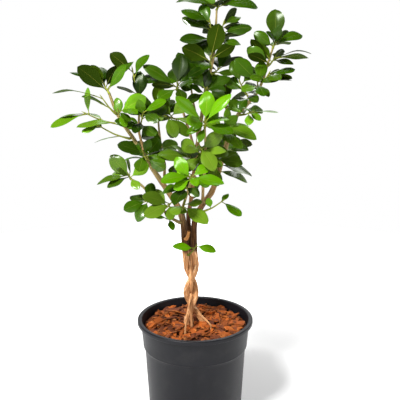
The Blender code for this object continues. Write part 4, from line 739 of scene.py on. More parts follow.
class Flow:
    """A number on its way through a material's nodes."""

    def __init__(self, finish, socket):
        self.finish = finish
        self.socket = socket

    def sum(self, operation, *values, clamp=False):
        node = self.finish.add("ShaderNodeMath", {"operation": operation, "use_clamp": clamp}, *values)
        return Flow(self.finish, node.outputs[0])

    def __add__(self, other):
        return self.sum("ADD", self, other)

    def __radd__(self, other):
        return self.sum("ADD", other, self)

    def __sub__(self, other):
        return self.sum("SUBTRACT", self, other)

    def __rsub__(self, other):
        return self.sum("SUBTRACT", other, self)

    def __mul__(self, other):
        return self.sum("MULTIPLY", self, other)

    def __rmul__(self, other):
        return self.sum("MULTIPLY", other, self)

    def __abs__(self):
        return self.sum("ABSOLUTE", self)

    def clamped(self):
        return self.sum("ADD", self, 0.0, clamp=True)

    def step(self, low, high):
        """0 below low, 1 above high, and a smooth rise between them; the other way about if low is the larger."""
        node = self.finish.add(
            "ShaderNodeMapRange", {"interpolation_type": "SMOOTHSTEP"}, self, low, high, 0.0, 1.0)
        return Flow(self.finish, node.outputs[0])


class Finish:
    """A material and the nodes that make it."""

    def __init__(self, name, **constants):
        self.material = bpy.data.materials.new(name)
        self.material.use_nodes = True
        self.tree = self.material.node_tree
        self.shader = self.tree.nodes["Principled BSDF"]
        for socket, value in constants.items():
            self.shader.inputs[socket.replace("_", " ")].default_value = value

    def add(self, kind, settings=None, *values, **named):
        """Adds a node: its settings first, then its sockets by order or by name."""
        node = self.tree.nodes.new(kind)
        for key, value in (settings or {}).items():
            setattr(node, key, value)
        for key, value in [*enumerate(values), *named.items()]:
            socket = node.inputs[key.replace("_", " ") if isinstance(key, str) else key]
            self.plug(socket, value)
        return node

    def plug(self, socket, value):
        if isinstance(value, Flow):
            value = value.socket
        if isinstance(value, bpy.types.NodeSocket):
            self.tree.links.new(value, socket)
        elif isinstance(value, tuple) and len(value) == 3 and socket.type == "RGBA":
            socket.default_value = (*value, 1.0)
        else:
            socket.default_value = value

    def feed(self, **values):
        for socket, value in values.items():
            self.plug(self.shader.inputs[socket.replace("_", " ")], value)

    def attribute(self, name):
        """The three parts of an attribute."""
        parts = self.add("ShaderNodeSeparateColor", None, self.add(
            "ShaderNodeAttribute", {"attribute_name": name}).outputs["Color"])
        return [Flow(self, output) for output in parts.outputs]

    def vector(self, name):
        return self.add("ShaderNodeAttribute", {"attribute_name": name}).outputs["Vector"]

    def place(self):
        return self.add("ShaderNodeTexCoord").outputs["Object"]

    def stretched(self, vector, scale):
        return self.add("ShaderNodeMapping", None, vector, Scale=scale).outputs[0]

    def noise(self, vector, scale, detail=4.0, roughness=0.55, distortion=0.0):
        node = self.add(
            "ShaderNodeTexNoise", None, Vector=vector, Scale=scale, Detail=detail, Roughness=roughness,
            Distortion=distortion)
        return Flow(self, node.outputs[0])

    def cells(self, vector, scale):
        node = self.add("ShaderNodeTexVoronoi", None, Vector=vector, Scale=scale)
        return Flow(self, node.outputs["Distance"])

    def blend(self, factor, a, b, mode="MIX"):
        node = self.tree.nodes.new("ShaderNodeMix")
        node.data_type = "RGBA"
        node.blend_type = mode
        for index, value in ((0, factor), (6, a), (7, b)):
            self.plug(node.inputs[index], value)
        return node.outputs[2]

    def bump(self, height, distance, strength=1.0):
        node = self.add("ShaderNodeBump", None, Strength=strength, Distance=distance, Height=height)
        self.feed(Normal=node.outputs[0])


def leaf_finish(colours):
    """Leathery leaves: attribute leaf holds youth, underside and dullness, and map blade runs over the blade."""
    finish = Finish(
        "fig_leaf", IOR=1.45, Specular_IOR_Level=0.12, Specular_Tint=(0.55, 0.85, 0.20, 1.0), Coat_Roughness=0.22)
    youth, under, dull = finish.attribute("leaf")
    stalk, shade, gloss = finish.attribute("leaf_more")
    map_node = finish.add("ShaderNodeUVMap", {"uv_map": "blade"})
    across, along, _ = (Flow(finish, out) for out in finish.add(
        "ShaderNodeSeparateXYZ", None, map_node.outputs[0]).outputs)
    off = abs(across - 0.5) * 2.0
    rib = (off * (1.0 + along * 1.6)).step(0.07, 0.025)
    slant = along * 15.0 - off * 3.4
    vein = abs(slant.sum("FRACT", slant) - 0.5).step(0.10, 0.02) * off.step(1.0, 0.7) * (1.0 - rib)
    edge = off.step(0.90, 1.0)
    place = finish.place()
    cloud = finish.noise(place, 60.0, 3.0)
    speck = finish.noise(place, 900.0, 3.0, 0.65)
    upper = finish.blend(youth, colours.deep_green[:], colours.fresh_green[:])
    upper = finish.blend(cloud.step(0.35, 0.70) * 0.16, upper, finish.blend(0.5, upper, colours.fresh_green[:]))
    upper = finish.blend(vein * 0.10, upper, finish.blend(0.5, upper, colours.vein[:]))
    upper = finish.blend(dull * 0.85, upper, (0.175, 0.270, 0.028))
    upper = finish.blend(rib * (0.22 + youth * 0.25), upper, colours.vein[:])
    # The lower side: its own colour, made darker as painted shade, and lighter where the leaf is young.
    lower = finish.blend(youth * 0.55, colours.underside[:], (0.12, 0.25, 0.006))
    lower = finish.blend(vein * 0.14, lower, finish.blend(0.5, lower, colours.vein[:]))
    lower = finish.blend(rib * 0.7, lower, (0.22, 0.22, 0.03))
    colour = finish.blend(under, upper, lower)
    colour = finish.blend(edge * 0.22, colour, finish.blend(0.5, colour, (0.20, 0.22, 0.03)))
    colour = finish.blend(stalk, colour, finish.blend(speck * 0.5, (0.23, 0.25, 0.045), (0.11, 0.12, 0.022)))
    # Multiplies by the leaf's shade, which holds its random tone and the painted shade of the inner crown.
    colour = finish.blend(1.0, colour, finish.blend(shade, (0.22, 0.26, 0.14), (1.62, 1.60, 1.30)), "MULTIPLY")
    rough = 0.26 + under * 0.26 + dull * 0.24 + speck * 0.10 - youth * 0.03
    coat = (1.0 - under) * (0.14 + gloss * 0.80 - dull * 0.20)
    finish.feed(Base_Color=colour, Roughness=rough.clamped(), Coat_Weight=coat.clamped())
    finish.bump(rib * -0.8 + vein * -0.18 + cloud * 0.5 + speck * 0.18, 0.0004, 0.8)
    return finish.material


def bark_finish(colours):
    """Fig bark along the stems: attribute grain wraps round each stem, and attribute bark holds the painted shadow
    of the leaves on it, how much cut wood shows, and how young it is.
    """
    finish = Finish("fig_bark", IOR=1.4, Specular_IOR_Level=0.16)
    painted_shadow, cut, age = finish.attribute("bark")
    grain = finish.vector("grain")
    fibre = finish.noise(finish.stretched(grain, (1.0, 1.0, 0.07)), 900.0, 5.0, 0.62)
    flake = finish.noise(finish.stretched(grain, (1.0, 1.0, 0.22)), 260.0, 4.0, 0.6, 0.4)
    patch = finish.noise(grain, 70.0, 3.0)
    pore = finish.cells(finish.stretched(grain, (1.0, 1.0, 0.6)), 420.0)
    pale = finish.blend(fibre.step(0.36, 0.62), (0.28, 0.115, 0.042), colours.pale_bark[:])
    pale = finish.blend(flake.step(0.54, 0.66) * 0.85, pale, (0.86, 0.56, 0.32))
    pale = finish.blend(patch.step(0.56, 0.70) * 0.5, pale, (0.42, 0.16, 0.055))
    # Bark in the painted shadow of the leaves: the shadow colour, darker in the fibres, with paler flakes.
    deep = finish.blend(fibre.step(0.36, 0.64), (0.020, 0.008, 0.004), colours.dark_bark[:])
    deep = finish.blend(flake.step(0.60, 0.75) * 0.5, deep, (0.20, 0.12, 0.065))
    young = finish.blend(fibre.step(0.3, 0.7), (0.20, 0.17, 0.055), (0.36, 0.33, 0.12))
    young = finish.blend(flake.step(0.5, 0.7) * 0.6, young, (0.30, 0.20, 0.10))
    # Lays the painted shadow of the leaves over the pale bark.
    colour = finish.blend(painted_shadow, pale, deep)
    colour = finish.blend(age, colour, young)
    colour = finish.blend(fibre.step(0.42, 0.33) * 0.75, colour, (0.035, 0.014, 0.007))
    colour = finish.blend(pore.step(0.16, 0.06) * 0.35, colour, (0.06, 0.03, 0.016))
    wood = finish.blend(fibre.step(0.3, 0.7), (0.34, 0.12, 0.028), (0.60, 0.29, 0.09))
    colour = finish.blend(cut, colour, wood)
    finish.feed(Base_Color=colour, Roughness=(0.62 + flake * 0.3).clamped())
    finish.bump(fibre * 1.2 + flake * 0.8 - pore.step(0.2, 0.05) * 0.4, 0.0010, 1.0)
    return finish.material


def chip_finish(colours):
    """Bark chips: attribute chip holds how weathered each one is, its own shade and its pale split side."""
    finish = Finish("bark_chips", IOR=1.4, Specular_IOR_Level=0.14)
    worn, shade, split = finish.attribute("chip")
    grain = finish.vector("grain")
    layer = finish.noise(finish.stretched(grain, (0.16, 1.0, 1.6)), 420.0, 5.0, 0.62, 0.3)
    crumb = finish.noise(grain, 800.0, 4.0, 0.7)
    patch = finish.noise(grain, 95.0, 3.0)
    colour = finish.blend((worn + (patch - 0.5) * 0.9).clamped(), colours.orange_chip[:], colours.brown_chip[:])
    colour = finish.blend(split * layer.step(0.35, 0.7), colour, (0.52, 0.21, 0.06))
    colour = finish.blend(layer.step(0.47, 0.30) * 0.7, colour, (0.050, 0.016, 0.010))
    colour = finish.blend(crumb.step(0.60, 0.75) * 0.45, colour, (0.55, 0.27, 0.12))
    colour = finish.blend(1.0, colour, finish.blend(shade, (0.55, 0.55, 0.55), (1.35, 1.30, 1.22)), "MULTIPLY")
    finish.feed(Base_Color=colour, Roughness=(0.72 + crumb * 0.25).clamped())
    finish.bump(layer * 1.0 + crumb * 0.5, 0.0008, 1.0)
    return finish.material


def soil_finish():
    finish = Finish("potting_mix", Specular_IOR_Level=0.2)
    place = finish.place()
    crumb = finish.noise(place, 700.0, 5.0, 0.7)
    lump = finish.cells(place, 260.0)
    colour = finish.blend(crumb.step(0.35, 0.7), (0.012, 0.007, 0.005), (0.075, 0.042, 0.024))
    finish.feed(Base_Color=colour, Roughness=(0.85 + crumb * 0.1).clamped())
    finish.bump(crumb * 0.7 - lump, 0.0012, 1.0)
    return finish.material


def pot_finish(colours):
    """Moulded black plastic: fine grain, faint upright wipe marks, and a little dust near the foot."""
    finish = Finish("pot_plastic", IOR=1.5, Specular_IOR_Level=0.23)
    place = finish.place()
    height = Flow(finish, finish.add("ShaderNodeSeparateXYZ", None, place).outputs[2])
    grain = finish.noise(place, 2600.0, 2.0, 0.6)
    wipe = finish.noise(finish.stretched(place, (1.0, 1.0, 0.05)), 120.0, 4.0, 0.6)
    cloud = finish.noise(place, 28.0, 4.0, 0.6)
    speck = finish.noise(place, 520.0, 3.0, 0.7)
    dust = cloud.step(0.50, 0.75) * 0.30 + height.step(0.035, 0.0) * 0.35 + speck.step(0.66, 0.74) * 0.35
    colour = finish.blend(wipe.step(0.35, 0.7) * 0.5, colours.pot_black[:], (0.007, 0.007, 0.010))
    colour = finish.blend(dust.clamped() * 0.3, colour, (0.07, 0.068, 0.062))
    finish.feed(Base_Color=colour, Roughness=(0.36 + wipe * 0.10 + dust * 0.12 + grain * 0.06).clamped())
    finish.bump(grain * 0.6 + wipe * 0.25, 0.00012, 0.5)
    return finish.material


def floor_finish():
    """A pale floor, which glows a little more the farther it lies from the plant."""
    finish = Finish("studio_floor", Specular_IOR_Level=0.05, Roughness=0.9, Emission_Strength=1.0)
    place = finish.place()
    cloud = finish.noise(place, 3.0, 2.0)
    far = Flow(finish, finish.add("ShaderNodeVectorMath", {"operation": "LENGTH"}, place).outputs["Value"])
    finish.feed(
        Base_Color=finish.blend(cloud, (0.84, 0.84, 0.84), (0.88, 0.88, 0.88)),
        Emission_Color=finish.blend(far.step(*GLOW_REACH), (0.10, 0.10, 0.10), (0.95, 0.95, 0.95)))
    return finish.material


# ---- Blanks and shaping ----

def start():
    """Leaves edit mode and takes everything out of the selection."""
    if bpy.context.object and bpy.context.object.mode != "OBJECT":
        bpy.ops.object.mode_set(mode="OBJECT")
    bpy.ops.object.select_all(action="DESELECT")


def rod_blank(sides, sections):
    """An upright rod with closed ends, one unit a section: a disc, extruded upwards again and again."""
    start()
    bpy.ops.mesh.primitive_circle_add(vertices=sides, radius=1.0, fill_type="NGON", location=(0, 0, 0))
    rod = bpy.context.object
    bpy.ops.object.mode_set(mode="EDIT")
    bpy.ops.mesh.select_all(action="SELECT")
    for _ in range(sections):
        bpy.ops.mesh.extrude_region_move(TRANSFORM_OT_translate={"value": (0, 0, 1)})
    bpy.ops.mesh.select_all(action="SELECT")
    bpy.ops.mesh.normals_make_consistent(inside=False)
    bpy.ops.object.mode_set(mode="OBJECT")
    return rod


def even_route(route, sections):
    """A route read at even steps of its length, with the direction and a steady side at each."""
    reach = [0.0]
    for a, b in zip(route, route[1:]):
        reach.append(reach[-1] + (b - a).xyz.length)
    points = []
    leg = 0
    for i in range(sections + 1):
        want = reach[-1] * i / sections
        while leg < len(route) - 2 and reach[leg + 1] < want:
            leg += 1
        share = (want - reach[leg]) / max(1e-9, reach[leg + 1] - reach[leg])
        points.append((route[leg].lerp(route[leg + 1], min(1.0, max(0.0, share))), want))
    frames = []
    side = None
    for i, (point, want) in enumerate(points):
        ahead = (points[min(i + 1, sections)][0] - points[max(i - 1, 0)][0]).xyz.normalized()
        side = ahead.orthogonal() if side is None else side - ahead * side.dot(ahead)
        side.normalize()
        frames.append((point.xyz, point.w, ahead, side.copy(), ahead.cross(side), want))
    return frames


def set_colours(mesh, name, colours):
    layer = mesh.attributes.new(name, "FLOAT_COLOR", "POINT")
    layer.data.foreach_set("color", [part for colour in colours for part in (*colour, 1.0)])


def set_vectors(mesh, name, vectors):
    layer = mesh.attributes.new(name, "FLOAT_VECTOR", "POINT")
    layer.data.foreach_set("vector", [part for vector in vectors for part in vector])


def bend_rod(blank, name, route, relief, painted_shadow, age, cut=0.0, swell=None):
    """Lays a copy of a rod along a route, and gives it bark relief, its grain, its bark colours and the painted
    shadow of the leaves.
    """
    rod = blank.copy()
    rod.data = blank.data.copy()
    rod.name = rod.data.name = name
    bpy.context.scene.collection.objects.link(rod)
    sections = round(max(spot.co.z for spot in blank.data.vertices))
    frames = even_route(route, sections)
    seed = Vector((random.Random(name).uniform(-9, 9), 0, 0))
    grains, barks = [], []
    for spot in rod.data.vertices:
        centre, radius, ahead, side, other, far = frames[round(spot.co.z)]
        turn = math.atan2(spot.co.y, spot.co.x)
        out = side * math.cos(turn) + other * math.sin(turn)
        inner = spot.co.xy.length
        grain = Vector((radius * math.cos(turn), radius * math.sin(turn), far))
        ridge = noise.noise(Vector((2.4 * math.cos(turn), 2.4 * math.sin(turn), far * 18)) + seed)
        groove = noise.noise(Vector((4.5 * math.cos(turn), 4.5 * math.sin(turn), far * 30)) - seed)
        ripple = noise.noise(Vector((5.0 * math.cos(turn), 5.0 * math.sin(turn), far * 120)) + seed)
        knot = max(0.0, noise.noise(Vector((1.2 * math.cos(turn), 1.2 * math.sin(turn), far * 60)) - seed) - 0.32)
        bark = 1.1 * ridge + 0.4 * ripple + 4.0 * knot - 1.5 * max(0.0, 0.25 - abs(groove)) + 0.2
        grow = radius + relief * bark * min(1.0, radius / 0.003)
        if swell:
            grow += swell(centre)
        spot.co = centre + out * grow * inner
        grains.append(grain + seed)
        barks.append((painted_shadow(spot.co), cut, age(far, frames[-1][5])))
    set_vectors(rod.data, "grain", grains)
    set_colours(rod.data, "bark", barks)
    start()
    rod.select_set(True)
    bpy.context.view_layer.objects.active = rod
    bpy.ops.object.shade_smooth_by_angle(angle=math.radians(60))
    return rod


def keep(piece, node, material=None):
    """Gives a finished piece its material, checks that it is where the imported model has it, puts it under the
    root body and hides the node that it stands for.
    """
    if material:
        piece.data.materials.clear()
        piece.data.materials.append(material)
    low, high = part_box(node)
    corners = [piece.matrix_world @ spot.co for spot in piece.data.vertices]
    for axis in range(3):
        least = min(corner[axis] for corner in corners)
        most = max(corner[axis] for corner in corners)
        if least < low[axis] - BOX_SLACK or most > high[axis] + BOX_SLACK:
            raise ValueError(f"{piece.name} strays from {node} along axis {axis}: {least:.4f}..{most:.4f}")
    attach(piece, "root")
    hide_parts(node)
    return piece


def joined(pieces, name):
    start()
    for piece in pieces:
        piece.select_set(True)
    bpy.context.view_layer.objects.active = pieces[0]
    bpy.ops.object.join()
    pieces[0].name = pieces[0].data.name = name
    return pieces[0]


def discard(*objects):
    for obj in objects:
        bpy.data.meshes.remove(obj.data)


# ---- Leaves ----

def blade_blank():
    """A flat leaf blank: across -1 to 1, along 0 to 1, two faces thick and closed along its edge."""
    start()
    bpy.ops.mesh.primitive_grid_add(
        x_subdivisions=BLADE_ACROSS, y_subdivisions=BLADE_ALONG, size=2.0, location=(0, 0, 0))
    blank = bpy.context.object
    bpy.ops.object.mode_set(mode="EDIT")
    bpy.ops.mesh.select_all(action="SELECT")
    bpy.ops.transform.resize(value=(1.0, 0.5, 1.0))
    bpy.ops.transform.translate(value=(0.0, 0.5, 0.5))
    bpy.ops.mesh.duplicate()
    bpy.ops.transform.translate(value=(0.0, 0.0, -1.0))
    bpy.ops.mesh.flip_normals()
    bpy.ops.object.mode_set(mode="OBJECT")
    for spot in blank.data.vertices:
        if abs(spot.co.x) > 0.999 or spot.co.y < 0.001 or spot.co.y > 0.999:
            spot.co.z = 0.0
    bpy.ops.object.mode_set(mode="EDIT")
    bpy.ops.mesh.select_all(action="SELECT")
    bpy.ops.mesh.remove_doubles(threshold=0.001)
    bpy.ops.object.mode_set(mode="OBJECT")
    bpy.ops.object.shade_smooth()
    for edge in blank.data.edges:
        ends = [blank.data.vertices[i].co for i in edge.vertices]
        if all(abs(end.z) < 0.001 for end in ends):
            edge.use_edge_sharp = True
    return blank


def blade_outline(share, blunt):
    """Half a blade's width as a share of its widest, at a share of its length."""
    return math.sin(math.pi * share**blunt) ** (0.98 - 0.40 * share)


def leaf_frame(leaf):
    """A leaf's length, its way up and its way across."""
    along = leaf["reach"]
    facing = leaf["facing"]
    normal = (facing - along * (facing.dot(along) / along.length**2)).normalized()
    return along.length, normal, along.cross(normal).normalized()


def shape_blade(blank, leaf, looks, chance, thickness):
    """Bends a copy of the blank into one leaf's blade."""
    along = leaf["reach"]
    length, normal, across = leaf_frame(leaf)
    blunt = chance.uniform(1.12, 1.32)
    roll = chance.uniform(-0.45, 0.45)
    wave = chance.uniform(0.01, 0.09)
    phase = chance.uniform(0, 6.28)
    droop = chance.uniform(-0.04, 0.16)
    cup = chance.uniform(0.02, 0.30)
    half_wide = leaf["width"] / 2
    mesh = blank.data.copy()
    flat = [spot.co.copy() for spot in mesh.vertices]
    for spot, (a, s, side) in zip(mesh.vertices, flat):
        s = 0.45 * s * s * (3 - 2 * s) + 0.55 * s
        t = PETIOLE_SHARE + (1 - PETIOLE_SHARE) * s
        half = max(0.6 * MM * (1 - 0.7 * s), half_wide * blade_outline(min(0.9999, s + 0.0001), blunt))
        centre = leaf["foot"] + along * t + normal * (leaf["bow"] * length * 4 * t * (1 - t))
        centre -= normal * (droop * length * max(0.0, s - 0.4) ** 2 * 2)
        turn = Matrix.Rotation(roll * (s - 0.2), 3, along.normalized())
        lift = half * (leaf["fold"] * 1.6 * abs(a) ** 1.3 - cup * abs(a) ** 3)
        lift += half_wide * wave * math.sin(phase + 9 * s + (1.6 if a > 0 else 0)) * a * a
        swell = (1 - 0.75 * a * a) * min(1.0, 6 * s + 0.2, 6 * (1 - s) + 0.2)
        spot.co = centre + (turn @ across) * (a * half) + (turn @ normal) * (lift + side * thickness * swell)
    dress(mesh, [(0.5 + a / 2, s) for a, s, _ in flat], looks, 0.0, lambda corner: flat[corner].z)
    return mesh


def dress(mesh, blade_map, looks, stalk, level):
    """Gives a leaf's mesh its map over the blade and its looks, corner by corner."""
    under = []
    for face in mesh.polygons:
        below = sum(level(corner) for corner in face.vertices) < 0
        under += [1.0 if below else 0.0] * face.loop_total
    more = (stalk, looks["shade"], looks["gloss"], 1.0)
    first = mesh.attributes.new("leaf", "FLOAT_COLOR", "CORNER")
    first.data.foreach_set(
        "color", [part for side in under for part in (looks["youth"], side, looks["dull"], 1.0)])
    second = mesh.attributes.new("leaf_more", "FLOAT_COLOR", "CORNER")
    second.data.foreach_set("color", more * len(mesh.loops))
    layer = mesh.uv_layers.new(name="blade")
    layer.data.foreach_set("uv", [part for loop in mesh.loops for part in blade_map[loop.vertex_index]])


def shape_stalk(blank, leaf, looks, thickness):
    """Bends a copy of a thin rod into a leaf's stalk, which runs on below the blade as its midrib."""
    along = leaf["reach"]
    length, normal, across = leaf_frame(leaf)
    mesh = blank.data.copy()
    last = max(spot.co.z for spot in mesh.vertices)
    for spot in mesh.vertices:
        t = spot.co.z / last * STALK_REACH
        past = max(0.0, t - PETIOLE_SHARE)
        radius = PETIOLE_WIDTH / 2 * (1.15 - 0.3 * min(1.0, t / PETIOLE_SHARE))
        radius *= 1 - 0.85 * past / (STALK_REACH - PETIOLE_SHARE)
        centre = leaf["foot"] + along * t + normal * (leaf["bow"] * length * 4 * t * (1 - t))
        centre -= normal * (min(1.0, past / 0.06) * (radius * 0.5 + thickness * 0.4))
        spot.co = centre + (across * spot.co.x + normal * spot.co.y) * radius
    dress(mesh, [(0.5, 0.5)] * len(mesh.vertices), looks, 1.0, lambda corner: -1.0)
    return mesh


def leaf_looks(shoot, foot, chance):
    """How young, dull and light a leaf is: its lightness differs at random, and the inner leaves, unless young,
    get painted shade.
    """
    youth, dull = SHOOT_LOOKS.get(shoot, (0.16, 0.05))
    outer = min(1.0, foot.xy.length / INNER_SHADE_REACH)
    return {
        "youth": min(1.0, max(0.0, youth + chance.uniform(-0.16, 0.18))),
        "dull": min(1.0, max(0.0, dull + chance.uniform(-0.08, 0.08))),
        # Shade: a random tone, times painted shade near the stems' axis, which young leaves are spared.
        "shade": chance.uniform(0.10, 0.95) * (0.35 + 0.65 * max(outer, youth)) * (1 - 0.2 * youth),
        "gloss": chance.random() ** 2.5,
    }


# ---- Pieces ----

class PLANT_OT_pot(bpy.types.Operator):
    """Turns the nursery pot from its section and drills its drain holes"""
    bl_idname = "plant.pot"
    bl_label = "Pot"

    def execute(self, context):
        sizes = context.scene.plant_sizes
        low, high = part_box("pot")
        height, rim = high[2] - low[2], (high[0] - low[0]) / 2
        lip_bottom = height - LIP_HEIGHT
        rounding = LIP_HEIGHT / 3
        inner_lip = inner_radius(lip_bottom)
        section = [(FOOT_RADIUS - FOOT_ROUNDING, 0.0)]
        section += arc((FOOT_RADIUS - FOOT_ROUNDING, FOOT_ROUNDING), FOOT_ROUNDING, -90, 0, 8)[1:]
        section += [
            (WALL_TOP_RADIUS - 0.0006, COLLAR_FOOT - LEDGE - 0.004),
            (WALL_TOP_RADIUS + 0.0001, COLLAR_FOOT - LEDGE),
            (COLLAR_FOOT_RADIUS - 0.0008, COLLAR_FOOT - 0.0009),
            (COLLAR_FOOT_RADIUS + 0.0001, COLLAR_FOOT - 0.0002),
            (COLLAR_FOOT_RADIUS + 0.0003, COLLAR_FOOT + 0.0006),
            (COLLAR_FOOT_RADIUS + 0.0001, COLLAR_FOOT + 0.0016),
            (COLLAR_FOOT_RADIUS + COLLAR_DROP_IN * 0.5, COLLAR_FOOT + COLLAR_HEIGHT * 0.5),
            (COLLAR_RADIUS, lip_bottom - 0.0004),
            (COLLAR_RADIUS + 0.0004, lip_bottom),
        ]
        section += arc((rim - rounding / 2, lip_bottom + rounding / 2), rounding / 2, -90, 0, 5)
        section += arc((rim - rounding, height - rounding), rounding, 0, 90, 8)
        section += arc((inner_lip + rounding, height - rounding), rounding, 90, 180, 8)
        section += [
            (inner_radius(COLLAR_FOOT + 0.001), COLLAR_FOOT + 0.001),
            (inner_radius(COLLAR_FOOT - LEDGE), COLLAR_FOOT - LEDGE),
            (inner_radius(FLOOR), FLOOR + 0.002),
            (inner_radius(FLOOR) - 0.002, FLOOR),
        ]
        start()
        first = section[0][0]
        bpy.ops.mesh.primitive_circle_add(
            vertices=sizes.pot_steps, radius=first, fill_type="NGON", location=(0, 0, 0))
        pot = context.object
        bpy.ops.object.mode_set(mode="EDIT")
        bpy.ops.mesh.select_all(action="SELECT")
        for (r0, z0), (r1, z1) in zip(section, section[1:]):
            bpy.ops.mesh.extrude_region_move(TRANSFORM_OT_translate={"value": (0, 0, z1 - z0)})
            bpy.ops.transform.resize(value=(r1 / r0, r1 / r0, 1.0))
        bpy.ops.mesh.select_all(action="SELECT")
        bpy.ops.mesh.normals_make_consistent(inside=False)
        bpy.ops.object.mode_set(mode="OBJECT")
        cutters = []
        for i in range(DRAIN_COUNT):
            turn = 2 * math.pi * (i + 0.5) / DRAIN_COUNT
            start()
            bpy.ops.mesh.primitive_cylinder_add(
                vertices=32, radius=DRAIN_RADIUS, depth=3 * FLOOR,
                location=(DRAIN_CIRCLE * math.cos(turn), DRAIN_CIRCLE * math.sin(turn), FLOOR / 2))
            cutters.append(context.object)
        cutter = joined(cutters, "drain_cutter")
        start()
        pot.select_set(True)
        context.view_layer.objects.active = pot
        cut = pot.modifiers.new("drains", "BOOLEAN")
        cut.operation = "DIFFERENCE"
        cut.solver = "EXACT"
        cut.object = cutter
        bpy.ops.object.modifier_apply(modifier=cut.name)
        discard(cutter)
        bpy.ops.object.shade_smooth_by_angle(angle=math.radians(35))
        pot.name = pot.data.name = "nursery_pot"
        keep(pot, "pot", pot_finish(context.scene.plant_colours))
        return {"FINISHED"}


class PLANT_OT_soil(bpy.types.Operator):
    """Gives the potting soil its crumbly finish"""
    bl_idname = "plant.soil"
    bl_label = "Soil"

    def execute(self, context):
        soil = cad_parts["potting_soil"]
        soil.data.materials.clear()
        soil.data.materials.append(soil_finish())
        return {"FINISHED"}


def chip_blank():
    """A squared-off flake, cut once each way."""
    start()
    bpy.ops.mesh.primitive_cube_add(size=1.0, location=(0, 0, 0))
    chip = bpy.context.object
    bpy.ops.object.mode_set(mode="EDIT")
    bpy.ops.mesh.select_all(action="SELECT")
    bpy.ops.mesh.subdivide(number_cuts=1)
    bpy.ops.object.mode_set(mode="OBJECT")
    return chip


def break_chip(blank, name, size, worn, chance):
    """Copies the flake and breaks its corners; its place is given to it afterwards."""
    mesh = blank.data.copy()
    mesh.name = name
    grains = []
    offset = Vector((chance.uniform(0, 9), chance.uniform(0, 9), chance.uniform(0, 9)))
    skew = chance.uniform(-0.5, 0.5)
    pinch = chance.uniform(0.35, 1.0)
    arch = chance.uniform(-0.25, 0.25)
    for spot in mesh.vertices:
        x, y, z = spot.co * 2
        wide = 1 - (1 - pinch) * max(0.0, x) ** 1.5
        x += 0.35 * skew * y + chance.uniform(-0.22, 0.22)
        y = y * wide + chance.uniform(-0.20, 0.20)
        z = z * (1 - 0.35 * abs(x)) + arch * x * x + chance.uniform(-0.22, 0.22)
        spot.co = Vector((x * size[0], y * size[1], z * size[2])) / 2
        grains.append(spot.co + offset)
    set_vectors(mesh, "grain", grains)
    splits = [1.0 if abs(spot.co.z) < 0.3 * size[2] and chance.random() < 0.55 else 0.0 for spot in mesh.vertices]
    shade = chance.uniform(0.0, 1.0)
    set_colours(mesh, "chip", [(worn, shade, split) for split in splits])
    return mesh


